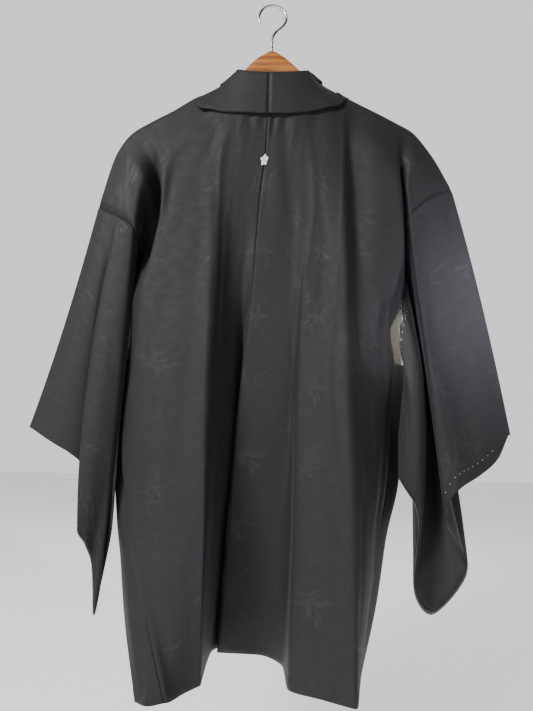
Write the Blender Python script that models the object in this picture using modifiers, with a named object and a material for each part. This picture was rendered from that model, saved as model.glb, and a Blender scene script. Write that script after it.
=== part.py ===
# Haori jacket on a wooden hanger.
# Metres, +Z up. The origin is the inside top of the hanger's hook. The back
# of the garment faces -Y, its fronts face +Y, +X is the wearer's right.
# The cloth is cut like a real haori: two body lengths that run from the back
# hem over the shoulder to the front hem, two folded sleeves, two side
# gussets and a two-piece collar folded outward round the neck.
import bpy
import bmesh
import math
import numpy as np
from mathutils import Vector

# ---- driving sizes (millimetres) -------------------------------------------
CLOTH = 1.6          # wall of the lined silk, all layers together
COLLAR_CLOTH = 2.2   # collar strip, doubled
SEAM = 0.3           # gap kept between pieces at a seam
SHOULDER_R = 9.0     # the cloth rolls over the hanger with this radius
SLEEVE_SEAM = 230.0  # length of the sleeve sewn to the body
OPENING_END = 345.0  # the side opening ends and the gusset begins here
HEM = 810.0          # level of the hem along the cloth
HOOK_WIRE = 4.0      # diameter of the hook
HOOK_R = 22.0        # radius of the hook's bend at its centre line
WOOD_T = 13.0        # thickness of the hanger
MM = 0.001

BODY_COLOUR = (0.012, 0.011, 0.014, 1.0)
LINING_COLOUR = (0.80, 0.77, 0.68, 1.0)
CREST_COLOUR = (0.85, 0.85, 0.82, 1.0)
WOOD_COLOUR = (0.52, 0.25, 0.09, 1.0)
WIRE_COLOUR = (0.72, 0.72, 0.70, 1.0)

# ---- fold lines ------------------------------------------------------------
# Each fold line runs down a panel. Its rows are (v, x, y, z): v is the
# distance down the cloth from the shoulder, x, y, z are in millimetres.
# "at" is the line's place across the cloth, from the centre back seam.

BACK_LEFT = [
    # centre back seam
    (0, [(0, -4, -27, -192), (60, -5, -31, -245), (150, -13, -30, -335), (280, -22, -22, -469),
         (430, -36, -8, -622), (640, -52, 30, -838), (810, -62, 62, -1003)]),
    # bottom of the deep valley, behind the seam
    (30, [(0, -20, -27, -190), (60, -24, -31, -245), (150, -30, -30, -335), (280, -34, -13, -470),
          (430, -33, 28, -622), (640, -40, 66, -838), (810, -52, 92, -1003)]),
    (70, [(0, -40, -27, -187), (60, -45, -32, -245), (150, -47, -31, -335), (280, -49, -19, -470),
          (430, -45, 2, -624), (640, -60, 40, -834), (810, -71, 64, -1003)]),
    # wall of the valley
    (120, [(0, -62, -24, -180), (60, -68, -31, -243), (150, -65, -33, -336), (280, -66, -34, -470),
           (430, -64, -26, -630), (640, -69, -6, -828), (810, -74, 12, -1002)]),
    # ridge left of the valley
    (168, [(0, -86, -17, -170), (60, -92, -28, -241), (150, -84, -35, -338), (280, -82, -48, -482),
           (430, -81, -56, -639), (640, -76, -58, -821), (810, -75, -46, -1001)]),
    # line below the neck point
    (186, [(0, -102, -9, -168), (60, -110, -27, -242), (150, -102, -33, -338), (280, -100, -44, -484),
           (430, -99, -51, -640), (640, -93, -56, -823), (810, -84, -50, -1004)]),
    # middle of the side facet
    (218, [(0, -150, -9, -197), (60, -147, -25, -250), (150, -141, -33, -339), (280, -142, -40, -490),
           (430, -139, -45, -640), (640, -123, -51, -823), (810, -97, -60, -1007)]),
    # ridge below the hanger's end
    (250, [(0, -184, -9, -217), (60, -166, -25, -272), (150, -156, -33, -350), (215, -165, -34, -420),
           (280, -176, -34, -482), (345, -180, -30, -560), (430, -185, -26, -640), (640, -158, -36, -822),
           (810, -105, -69, -1009)]),
    # bottom of the valley beside the sleeve
    (268, [(0, -206, -9, -232), (45, -184, -14, -266), (85, -170, 10, -300), (130, -168, 26, -350),
           (180, -172, 16, -400), (235, -180, -12, -455), (285, -189, -24, -496), (345, -189, -22, -570),
           (430, -195, -18, -655), (640, -172, -32, -824), (810, -108, -73, -1009)]),
    # ridge on the sleeve's side of that valley
    (292, [(0, -229, -7, -262), (40, -206, -18, -285), (75, -190, -22, -307), (100, -184, -8, -330),
           (135, -184, 22, -365), (175, -187, 20, -410), (225, -191, -8, -460), (280, -195, -16, -510),
           (345, -195, -14, -575), (430, -201, -12, -668), (640, -177, -28, -826), (810, -111, -75, -1009)]),
    # edge: sleeve seam, side opening, gusset seam
    (314, [(0, -255, -4, -349), (18, -240, -12, -359), (42, -217, -20, -371), (66, -200, -21, -384),
           (84, -197, -8, -398), (120, -207, 30, -421), (165, -204, 26, -452), (200, -200, 11, -477),
           (230, -197, -1, -498), (260, -195, -4, -520),
           (345, -197, -4, -580), (430, -202, -3, -672), (520, -189, -10, -752), (640, -165, -28, -846),
           (730, -144, -48, -928), (810, -114, -76, -1009)]),
]

BACK_RIGHT = [
    (0, [(0, -4, -27, -192), (60, -5, -31, -245), (150, -13, -30, -335), (280, -22, -22, -469),
         (430, -36, -8, -622), (640, -52, 30, -838), (810, -62, 62, -1003)]),
    # floor of the centre
    (52, [(0, 24, -27, -189), (60, 22, -30, -239), (150, 27, -31, -334), (280, 33, -28, -469),
          (430, 34, -14, -620), (640, 22, 24, -836), (810, 0, 56, -1003)]),
    # far side of the small step
    (92, [(0, 48, -26, -184), (60, 46, -31, -240), (150, 50, -33, -335), (280, 46, -30, -470),
          (430, 41, -18, -621), (640, 41, 2, -832), (810, 34, 18, -1004)]),
    # near side of the small step
    (132, [(0, 66, -22, -178), (60, 66, -31, -241), (150, 68, -36, -336), (280, 56, -36, -471),
           (430, 46, -33, -622), (640, 42, -32, -826), (810, 37, -42, -1005)]),
    # facet between step and ridge
    (168, [(0, 84, -16, -168), (60, 88, -29, -230), (150, 86, -39, -337), (280, 84, -43, -473),
           (430, 78, -46, -622), (640, 78, -56, -818), (810, 79, -68, -1005)]),
    # line below the neck point
    (190, [(0, 100, -9, -158), (60, 102, -27, -226), (150, 100, -41, -338), (280, 100, -48, -474),
           (430, 98, -52, -622), (640, 102, -64, -808), (810, 100, -80, -1005)]),
    # crisp ridge of the right side
    (206, [(0, 112, -9, -166), (60, 110, -26, -225), (150, 108, -42, -338), (280, 111, -51, -474),
           (430, 112, -57, -622), (640, 118, -69, -805), (810, 116, -88, -1005)]),
    # groove beside the ridge
    (224, [(0, 134, -9, -178), (60, 122, -20, -245), (150, 127, -22, -328), (280, 129, -30, -468),
           (430, 130, -40, -620), (640, 132, -56, -808), (810, 121, -76, -1006)]),
    (246, [(0, 165, -9, -194), (60, 158, -25, -250), (150, 160, -30, -332), (280, 161, -33, -468),
           (430, 152, -22, -622), (640, 145, -36, -812), (810, 123, -66, -1006)]),
    # ridge below the hanger's end
    (266, [(0, 196, -9, -211), (60, 190, -22, -262), (150, 194, -30, -335), (215, 197, -30, -405),
           (280, 188, -28, -468), (310, 174, -22, -508), (345, 168, -18, -550), (430, 168, -4, -634), (640, 154, -20, -816),
           (810, 124, -58, -1006)]),
    # bottom of the valley beside the sleeve
    (284, [(0, 213, -9, -221), (45, 203, -11, -258), (85, 203, 14, -300), (130, 205, 32, -345),
           (180, 206, 22, -400), (235, 203, -6, -452), (262, 195, -17, -476), (300, 178, -17, -518), (345, 176, -12, -564),
           (430, 177, 8, -650), (640, 159, -10, -818), (810, 125, -52, -1006)]),
    # ridge on the sleeve's side of that valley
    (304, [(0, 244, -7, -257), (38, 222, -17, -280), (70, 207, -20, -308), (92, 205, -4, -332),
           (125, 210, 28, -360), (160, 211, 36, -395), (210, 207, 10, -440), (252, 196, -11, -480), (288, 180, -13, -526),
           (345, 183, -6, -572), (430, 182, 16, -664), (640, 164, 0, -820), (810, 126, -48, -1006)]),
    # edge: sleeve seam, side opening, gusset seam
    (326, [(0, 276, -4, -311), (18, 259, -10, -319), (40, 238, -15, -332), (72, 212, -19, -359),
           (87, 209, -12, -374), (111, 213, 14, -384), (134, 217, 38, -395), (148, 218, 46, -409),
           (165, 216, 40, -427), (192, 211, 20, -452), (230, 204, -6, -486), (262, 191, -9, -508), (292, 181, -8, -534),
           (345, 189, 0, -578), (430, 186, 24, -672), (520, 181, 26, -752), (640, 166, 12, -824),
           (730, 147, -8, -922), (810, 127, -45, -1006)]),
]

# fronts, from the collar seam outward; they share the shoulder with the back
FRONT_LEFT = [
    (186, [(0, -102, 9, -168), (60, -98, 25, -236), (150, -92, 38, -331), (280, -84, 52, -470),
           (430, -77, 68, -622), (640, -68, 92, -838), (810, -62, 112, -1004)]),
    (200, [(0, -120, 9, -179), (60, -114, 29, -239), (150, -108, 45, -333), (280, -100, 64, -471),
           (430, -92, 86, -624), (640, -86, 120, -838), (810, -84, 146, -1004)]),
    (218, [(0, -150, 9, -197), (60, -142, 31, -246), (150, -136, 44, -337), (280, -128, 58, -474),
           (430, -120, 74, -626), (640, -112, 94, -838), (810, -108, 110, -1004)]),
    (250, [(0, -184, 9, -217), (60, -176, 27, -268), (150, -172, 38, -345), (215, -174, 44, -410),
           (280, -176, 46, -478), (345, -172, 46, -552), (430, -166, 50, -632), (640, -150, 58, -834),
           (810, -136, 50, -1006)]),
    (268, [(0, -206, 9, -232), (45, -194, 24, -266), (85, -189, 40, -304), (130, -190, 54, -350),
           (180, -194, 62, -402), (235, -196, 60, -458), (285, -198, 54, -508), (345, -196, 50, -568),
           (430, -190, 50, -650), (640, -170, 46, -836), (810, -144, 20, -1008)]),
    (292, [(0, -229, 7, -262), (40, -214, 20, -288), (75, -206, 36, -318), (100, -203, 48, -345),
           (135, -205, 60, -384), (175, -207, 64, -424), (225, -207, 56, -474), (280, -204, 48, -520),
           (345, -201, 42, -576), (430, -203, 38, -668), (640, -186, 28, -842), (810, -148, -24, -1010)]),
    (314, [(0, -255, 4, -349), (18, -243, 12, -358), (42, -228, 24, -370), (66, -220, 36, -383),
           (84, -218, 44, -397), (120, -219, 58, -423), (170, -215, 58, -457), (230, -212, 38, -494),
           (260, -209, 33, -516), (345, -209, 24, -580), (430, -211, 24, -676), (520, -209, 13, -780), (640, -196, 2, -866),
           (730, -181, -18, -938), (810, -152, -68, -1012)]),
]

FRONT_RIGHT = [
    (190, [(0, 100, 9, -158), (60, 98, 25, -229), (150, 93, 38, -328), (280, 84, 52, -470),
           (430, 74, 68, -622), (640, 62, 92, -838), (810, 52, 112, -1004)]),
    (206, [(0, 112, 9, -166), (60, 110, 30, -232), (150, 108, 48, -331), (280, 98, 68, -471),
           (430, 88, 90, -624), (640, 78, 120, -838), (810, 70, 146, -1004)]),
    (224, [(0, 134, 9, -178), (60, 130, 31, -240), (150, 130, 48, -335), (280, 122, 62, -473),
           (430, 114, 78, -625), (640, 100, 98, -838), (810, 92, 110, -1004)]),
    (246, [(0, 165, 9, -194), (60, 158, 28, -250), (150, 158, 42, -340), (280, 150, 52, -476),
           (430, 142, 60, -628), (640, 126, 72, -836), (810, 108, 64, -1005)]),
    (266, [(0, 196, 9, -211), (60, 188, 26, -262), (150, 184, 40, -342), (215, 186, 48, -405),
           (280, 184, 52, -474), (345, 178, 54, -548), (430, 170, 58, -634), (640, 150, 64, -834),
           (810, 118, 46, -1006)]),
    (284, [(0, 213, 9, -221), (45, 205, 24, -258), (85, 202, 42, -300), (130, 205, 58, -345),
           (180, 206, 68, -400), (235, 204, 68, -452), (285, 198, 62, -500), (345, 192, 58, -562),
           (430, 188, 62, -650), (640, 166, 64, -834), (810, 126, 36, -1006)]),
    (304, [(0, 244, 7, -257), (38, 230, 20, -282), (70, 220, 38, -310), (92, 217, 52, -335),
           (125, 217, 66, -372), (160, 218, 74, -410), (210, 214, 72, -452), (270, 206, 60, -505),
           (345, 199, 50, -570), (430, 198, 60, -660), (640, 180, 62, -832), (810, 133, 28, -1006)]),
    (326, [(0, 276, 4, -311), (18, 262, 12, -319), (40, 244, 24, -332), (72, 230, 42, -358),
           (87, 227, 52, -372), (111, 227, 66, -386), (134, 228, 76, -400), (148, 228, 79, -412),
           (165, 226, 79, -430), (192, 222, 70, -455), (230, 215, 51, -488), (288, 209, 39, -532),
           (345, 208, 32, -578), (430, 207, 54, -674), (520, 203, 66, -754), (640, 188, 64, -828),
           (730, 168, 50, -926), (810, 139, 22, -1006)]),
]

# gussets: back seam, middle and front seam are fold lines too
GUSSET_LEFT_MID = [(345, -206, 9, -580), (430, -210, 9, -674), (520, -205, -1, -768), (640, -184, -17, -858),
                   (730, -166, -40, -934), (810, -134, -78, -1012)]
GUSSET_RIGHT_MID = [(345, 203, 13, -579), (390, 208, 24, -628), (430, 210, 38, -673), (520, 203, 45, -752), (640, 184, 40, -826),
                    (730, 163, 22, -924), (810, 134, -12, -1006)]

# sleeves: each row is a fold ray, from the seam or the free inner edge
# (start) through the middle to the cuff or the bottom edge (end).
# kind: "open" ends on the open cuff, "sewn" ends on the closed edge
#        v-start        near start        near middle        near end            far start        far middle         far end
SLEEVE_RIGHT = [
    ("open", 0,   (276, 0, -311),   (315, 0, -484),   (350, 0, -678),   None, None, None),
    ("open", 18,  (259, -10, -319), (288, -14, -500), (326, -19, -713), (262, 12, -319), (292, 20, -500), (330, 24, -712)),
    ("open", 40,  (238, -15, -332), (252, -23, -523), (299, -28, -733), (244, 24, -332), (270, 46, -520), (312, 54, -733)),
    ("open", 72,  (212, -19, -359), (224, -33, -528), (265, -35, -754), (230, 42, -358), (262, 72, -540), (300, 70, -754)),
    ("sewn", 87,  (209, -12, -374), (226, -27, -560), (251, -27, -778), (227, 52, -372), (270, 88, -570), None),
    ("sewn", 111, (213, 14, -384),  (240, 10, -600),  (254, -14, -800), (227, 66, -386), (284, 84, -640), None),
    ("sewn", 134, (217, 38, -395),  (252, 42, -640),  (284, -8, -858),  (228, 76, -400), (290, 78, -680), None),
    ("sewn", 148, (218, 46, -409),  (254, 54, -672),  (262, -12, -894), (228, 79, -412), (274, 92, -700), None),
    ("sewn", 165, (216, 40, -427),  (250, 46, -672),  (231, -14, -918), (226, 79, -430), (250, 82, -700), None),
    ("sewn", 192, (211, 20, -452),  (238, 22, -655),  (210, -10, -885),  (222, 70, -455), (228, 60, -680), None),
    ("sewn", 216, (207, 3, -474),   (229, -10, -630), (216, -18, -803), (217, 56, -474), (221, 40, -640), None),
    ("furi", 260, (200, -12, -508),  (214, -30, -632), (208, -20, -768), (213, 30, -510), (215, 12, -632), None),
    ("furi", 295, (194, -14, -549),  (206, -28, -648), (203, -18, -760), (210, 16, -549), (211, 4, -648), None),
    ("furi", 330, (199, -15, -584),  (201, -24, -666), (198, -16, -752), (209, 4, -584), (207, -4, -666), None),
    ("furi", 420, (191, -14, -680),  (190, -14, -708),  (190, -12, -738),  (194, -1, -680), (192, -3, -708), None),
]
SLEEVE_LEFT = [
    ("open", 0,   (-255, 0, -349),   (-293, 0, -529),   (-333, 0, -682),   None, None, None),
    ("open", 12,  (-245, -9, -355),  (-271, -12, -540), (-293, -15, -704), (-247, 9, -355), (-274, 16, -540), (-300, 24, -704)),
    ("open", 18,  (-240, -12, -359), (-255, -13, -561), (-261, -12, -724), (-243, 12, -358), (-262, 30, -560), (-276, 46, -724)),
    ("sewn", 30,  (-228, -17, -365), (-241, 0, -581),   (-230, 20, -790),  (-235, 19, -364), (-254, 42, -580), None),
    ("sewn", 36,  (-222, -19, -368), (-247, -30, -592), (-248, -33, -811), (-231, 22, -367), (-258, 48, -600), None),
    ("sewn", 56,  (-207, -21, -378), (-224, -37, -600), (-238, -27, -834), (-224, 30, -377), (-254, 54, -640), None),
    ("sewn", 72,  (-199, -18, -388), (-206, -32, -620), (-232, -12, -862), (-219, 38, -386), (-246, 54, -660), None),
    ("sewn", 96,  (-199, 6, -407),   (-203, -21, -654), (-228, -2, -932),  (-218, 49, -406), (-234, 50, -680), None),
    ("sewn", 140, (-207, 32, -434),  (-213, 2, -668),   (-221, 0, -887),   (-218, 60, -438), (-223, 38, -690), None),
    ("furi", 250, (-201, -11, -517),  (-203, -21, -680), (-208, -11, -812),  (-216, 26, -515), (-217, 12, -680), None),
    ("furi", 420, (-204, -20, -690), (-205, -19, -735), (-208, -13, -786),  (-215, -2, -690), (-215, -3, -735), None),
]

# collar: rows along its length, from the centre back over the shoulder to the
# front hem. fold = the folded upper edge, free = the loose outer edge,
# seam = the hidden edge inside, next to the neck.
#  l      fold               free                 seam
COLLAR_LEFT = [
    (0,   (-3, -26, -135),   (-5, -40, -207),    (-4, -22, -190)),
    (30,  (-30, -24, -133),  (-36, -39, -206),   (-32, -21, -187)),
    (58,  (-50, -15, -124),  (-72, -35, -203),   (-56, -15, -168)),
    (70,  (-53, -8, -120),   (-90, -33, -197),   (-68, -12, -147)),
    (80,  (-56, 0, -118),    (-107, -29, -191),  (-80, 0, -139)),
    (92,  (-58, 10, -121),   (-119, -16.8, -173.0),  (-82, 10, -140)),
    (104, (-60, 18, -128),   (-125, 2, -162.1),  (-82, 16, -148)),
    (122, (-60, 27, -143),   (-127, 26, -175.0),   (-84, 21, -164)),
    (140, (-60, 34, -160),   (-126, 43, -200),   (-86, 25, -182)),
    (230, (-56, 48, -250),   (-118, 60, -280),   (-88, 32, -262)),
    (440, (-46, 70, -462),   (-106, 84, -480),   (-82, 48, -470)),
    (640, (-38, 92, -662),   (-98, 112, -672),   (-74, 66, -668)),
    (860, (-33, 118, -880),  (-92, 144, -884),   (-68, 92, -882)),
    (980, (-30, 130, -1000), (-89, 160, -1002),  (-66, 106, -1001)),
]
COLLAR_RIGHT = [
    (0,   (-3, -26, -135),  (-5, -40, -207),   (-4, -22, -190)),
    (30,  (26, -24, -133),  (32, -39, -205),   (26, -21, -187)),
    (60,  (54, -15, -124),  (70, -35, -197),   (56, -15, -162)),
    (71,  (58, -8, -119),   (88, -33, -189),   (68, -12, -138)),
    (82,  (62, 0, -116),    (103, -28, -182),  (80, 0, -131)),
    (94,  (63, 10, -119),   (115, -16.8, -164.0),  (82, 10, -133)),
    (106, (64, 18, -126),   (123, 2, -153.1),  (84, 16, -142)),
    (124, (64, 27, -141),   (125, 26, -167.2),   (85, 21, -160)),
    (142, (63, 34, -158),   (124, 43, -194),   (86, 25, -178)),
    (230, (58, 48, -248),   (118, 62, -276),   (88, 32, -260)),
    (440, (46, 70, -462),   (106, 86, -480),   (80, 48, -470)),
    (640, (38, 92, -662),   (98, 114, -672),   (70, 66, -668)),
    (860, (28, 118, -880),  (88, 146, -884),   (60, 92, -882)),
    (980, (24, 130, -1000), (84, 160, -1002),  (54, 106, -1001)),
]

# hanger body: x, top z, depth of the wood below the top
WOOD = [(-190, -224, 16), (-160, -204, 22), (-120, -178, 27), (-80, -152, 31), (-47, -121, 36),
        (-35, -105, 38), (-16, -88, 42), (0, -80, 44), (16, -88, 42), (36, -105, 38), (52, -121, 36),
        (84, -149, 31), (124, -172, 27), (165, -196, 22), (196, -218, 16)]

# ---- sampling --------------------------------------------------------------
SEAM_ROWS = [0, 12, 18, 30, 40, 56, 72, 87, 111, 134, 148, 160, 192, 216, 230]      # shared by body and sleeves
BODY_ROWS = SEAM_ROWS + [260, 300, 345, 400, 460, 530, 600, 670, 740, 810]
GUSSET_ROWS = [345, 400, 460, 530, 600, 670, 740, 810]
LEFT_COLS = [0, 15, 30, 50, 70, 95, 120, 144, 168, 186, 200, 218, 234, 250, 268, 292, 314]
RIGHT_COLS = [0, 26, 52, 92, 112, 132, 168, 190, 206, 224, 246, 266, 284, 304, 326]
SLEEVE_COLS = [0.0, 0.12, 0.26, 0.42, 0.58, 0.74, 0.88, 1.0]


def slopes(x, y):
    """Monotone cubic slopes for knots x and rows of values y."""
    h = np.diff(x)[:, None]
    d = np.diff(y, axis=0) / h
    m = np.zeros_like(y)
    if len(x) == 2:
        return np.repeat(d, 2, axis=0)
    w1 = 2 * h[1:] + h[:-1]
    w2 = h[1:] + 2 * h[:-1]
    same = d[1:] * d[:-1] > 0
    safe0 = np.where(same, d[:-1], 1.0)
    safe1 = np.where(same, d[1:], 1.0)
    m[1:-1] = np.where(same, (w1 + w2) / (w1 / safe0 + w2 / safe1), 0.0)
    m[0] = d[0]
    m[-1] = d[-1]
    return m


def smooth(x, y, q):
    """Smooth curve through the knots (x, y), read at q."""
    x = np.asarray(x, float)
    y = np.asarray(y, float).reshape(len(x), -1)
    q = np.clip(np.asarray(q, float), x[0], x[-1])
    m = slopes(x, y)
    k = np.clip(np.searchsorted(x, q, side="right") - 1, 0, len(x) - 2)
    h = (x[k + 1] - x[k])[:, None]
    t = ((q - x[k])[:, None]) / h
    h00 = 2 * t ** 3 - 3 * t ** 2 + 1
    h10 = t ** 3 - 2 * t ** 2 + t
    h01 = -2 * t ** 3 + 3 * t ** 2
    h11 = t ** 3 - t ** 2
    return h00 * y[k] + h10 * h * m[k] + h01 * y[k + 1] + h11 * h * m[k + 1]


def line_at(rows, v):
    rows = np.asarray(rows, float)
    return smooth(rows[:, 0], rows[:, 1:], v)


def panel(lines, s, v):
    """Grid of points [row v][column s] on a panel given by its fold lines."""
    at = [a for a, _ in lines]
    net = np.stack([line_at(rows, v) for _, rows in lines])      # line, v, xyz
    out = smooth(at, net.reshape(len(at), -1), s)
    return out.reshape(len(s), len(v), 3).transpose(1, 0, 2)


def roll(back, front, steps):
    """Rows that carry the cloth over the shoulder from one v=0 row to the other."""
    mid = (back + front) / 2
    half = (front - back) / 2
    tan = np.gradient(mid, axis=0)
    up = np.stack([-tan[:, 2], 0 * tan[:, 0], tan[:, 0]], 1)
    up *= np.sign(up[:, 2:3] + 1e-9)
    up /= np.linalg.norm(up, axis=1)[:, None]
    r = np.linalg.norm(half, axis=1)[:, None]
    out = []
    for k in range(1, steps + 1):
        a = math.pi * k / (steps + 1)
        out.append(mid - half * math.cos(a) + up * r * math.sin(a))
    return out


def unit(v):
    return v / np.maximum(np.linalg.norm(v, axis=-1, keepdims=True), 1e-9)


def trimmed(edge, own, other, thick=CLOTH, slack=SEAM * 0.9):
    """Edge points of a panel, drawn back square to the seam so that the two
    walls stay SEAM apart however sharply the cloth turns there."""
    run = unit(np.gradient(edge, axis=0))
    a = own - edge
    a = unit(a - (a * run).sum(-1)[..., None] * run)
    b = other - edge
    b = unit(b - (b * run).sum(-1)[..., None] * run)
    bend = np.arccos(np.clip(-(a * b).sum(-1), -1, 1))
    back = slack + thick / 2 * np.tan(np.clip(bend, 0, 2.55) / 2) * 1.7
    return edge + a * back[..., None]


def grid_faces(rows, cols, start, flip=False):
    f = []
    for i in range(rows - 1):
        for j in range(cols - 1):
            a = start + i * cols + j
            q = (a, a + 1, a + cols + 1, a + cols)
            f.append(q[::-1] if flip else q)
    return f


COLL = bpy.data.collections.new("haori_jacket")
for old in list(bpy.data.objects):
    bpy.data.objects.remove(old, do_unlink=True)
bpy.context.scene.collection.children.link(COLL)


def material(name, colour, rough, metal=0.0):
    m = bpy.data.materials.new(name)
    m.use_nodes = True
    b = m.node_tree.nodes["Principled BSDF"]
    b.inputs["Base Color"].default_value = colour
    b.inputs["Roughness"].default_value = rough
    b.inputs["Metallic"].default_value = metal
    return m


SILK = material("black_silk", BODY_COLOUR, 0.5)
LINING = material("cream_lining", LINING_COLOUR, 0.6)
CREST = material("white_crest", CREST_COLOUR, 0.8)
WOOD_M = material("hanger_wood", WOOD_COLOUR, 0.45)
WIRE_M = material("hook_wire", WIRE_COLOUR, 0.25, 1.0)


def shell(name, verts, faces, mat, thick=CLOTH):
    """An open surface, given its wall by Solidify."""
    me = bpy.data.meshes.new(name)
    me.from_pydata([Vector(p) * MM for p in verts], [], faces)
    me.update()
    me.materials.append(mat)
    ob = bpy.data.objects.new(name, me)
    COLL.objects.link(ob)
    bm = bmesh.new()
    bm.from_mesh(me)
    bmesh.ops.recalc_face_normals(bm, faces=bm.faces)
    bmesh.ops.triangulate(bm, faces=bm.faces, quad_method="SHORT_EDGE")
    bm.to_mesh(me)
    bm.free()
    s = ob.modifiers.new("wall", "SOLIDIFY")
    s.thickness = thick * MM
    s.offset = 0.0
    s.use_even_offset = False
    s.use_rim = True
    return ob


# ---- body lengths ----------------------------------------------------------
def body(name, back, front, cols, neck_s, across, gusset_mid, sleeve_dir):
    """One cut length: back panel, roll over the shoulder, front panel."""
    s = np.array(cols, float)
    v = np.array(BODY_ROWS, float)
    gb = panel(back, s, v)
    # centre seam: stay clear of the other half
    other = panel(across, np.array([0.0, 12.0]), v)[:, 1]
    own = panel(back, np.array([12.0]), v)[:, 0]
    gb[:, 0] = trimmed(gb[:, 0], own, other)
    keep = [j for j, q in enumerate(cols) if q >= neck_s]
    gf = panel(front, s[keep], v)
    # side edge: sleeve seam above, gusset seam below
    for g, side in ((gb, 0), (gf, 1)):
        inner = (g[:, -1] + 0.25 * (g[:, -2] - g[:, -1]))
        beyond = sleeve_dir(v, side)
        g[:, -1] = trimmed(g[:, -1], inner, beyond)
    rolls = roll(gb[0, keep], gf[0], 3)
    verts, faces = [], []
    nb = len(cols)
    for row in gb[::-1]:
        verts += list(row)
    faces += grid_faces(len(v), nb, 0)
    top = (len(v) - 1) * nb
    prev = [top + j for j in keep]
    nf = len(keep)
    for row in rolls + list(gf):
        start = len(verts)
        verts += list(row)
        cur = list(range(start, start + nf))
        for j in range(nf - 1):
            faces.append((prev[j], prev[j + 1], cur[j + 1], cur[j]))
        prev = cur
    return shell(name, verts, faces, SILK)


def sleeve_rows(table, back, front, v):
    """Near and far points of each ray at the seam rows v: start, middle, end."""
    tv = [r[1] for r in table]
    ns = np.array([r[2] for r in table], float)
    nm = np.array([r[3] for r in table], float)
    ne = np.array([r[4] for r in table], float)
    fs = np.array([r[5] or r[2] for r in table], float)
    fm = np.array([r[6] or r[3] for r in table], float)
    fe = np.array([r[7] or r[4] for r in table], float)
    nm[0, 1] = ne[0, 1] = -4.0
    fm[0], fe[0] = nm[0], ne[0]
    fm[0, 1] = fe[0, 1] = 4.0
    near = [smooth(tv, q, v) for q in (ns, nm, ne)]
    far = [smooth(tv, q, v) for q in (fs, fm, fe)]
    seam = v <= SLEEVE_SEAM
    near[0][seam] = line_at(back[-1][1], v[seam])
    far[0][seam] = line_at(front[-1][1], v[seam])
    return near, far


def ray_points(p, t):
    a, b, c = p
    t = np.asarray(t)[None, :, None]
    a, b, c = a[:, None], b[:, None], c[:, None]
    return (2 * (t - 0.5) * (t - 1)) * a + (4 * t * (1 - t)) * b + (2 * t * (t - 0.5)) * c


def beyond_edge(table, back, front, gusset_mid):
    """Points just past a body's side edge: on the sleeve, or on the gusset."""
    def f(v, side):
        near, far = sleeve_rows(table, back, front, np.minimum(v, SLEEVE_SEAM))
        ray = ray_points((near, far)[side], [0.0, 0.05])
        edge = line_at((back, front)[side][-1][1], v)
        out = edge + (ray[:, 1] - ray[:, 0])
        g = line_at(gusset_mid, np.maximum(v, OPENING_END))
        low = v >= OPENING_END
        out[low] = g[low]
        return out
    return f


SPECS = [
    ("left", BACK_LEFT, FRONT_LEFT, LEFT_COLS, 186, BACK_RIGHT, GUSSET_LEFT_MID, SLEEVE_LEFT),
    ("right", BACK_RIGHT, FRONT_RIGHT, RIGHT_COLS, 190, BACK_LEFT, GUSSET_RIGHT_MID, SLEEVE_RIGHT),
]
for side, back, front, cols, neck, across, mid, table in SPECS:
    body("body_" + side, back, front, cols, neck, across, mid, beyond_edge(table, back, front, mid))

# ---- gussets ---------------------------------------------------------------
for side, back, front, cols, neck, across, mid, table in SPECS:
    v = np.array(GUSSET_ROWS, float)
    e = line_at(back[-1][1], v)
    m = line_at(mid, v)
    f = line_at(front[-1][1], v)
    pb = panel(back, np.array([back[-1][0] - 6.0]), v)[:, 0]
    pf = panel(front, np.array([front[-1][0] - 6.0]), v)[:, 0]
    e2 = trimmed(e, m, pb)
    f2 = trimmed(f, m, pf)
    net = np.stack([e2, m, f2], 1)
    g = smooth([0, 1, 2], net.transpose(1, 0, 2).reshape(3, -1), [0, 0.5, 1, 1.5, 2]).reshape(5, len(v), 3).transpose(1, 0, 2)
    shell("gusset_" + side, list(g.reshape(-1, 3)), grid_faces(len(v), 5, 0), SILK)


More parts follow.
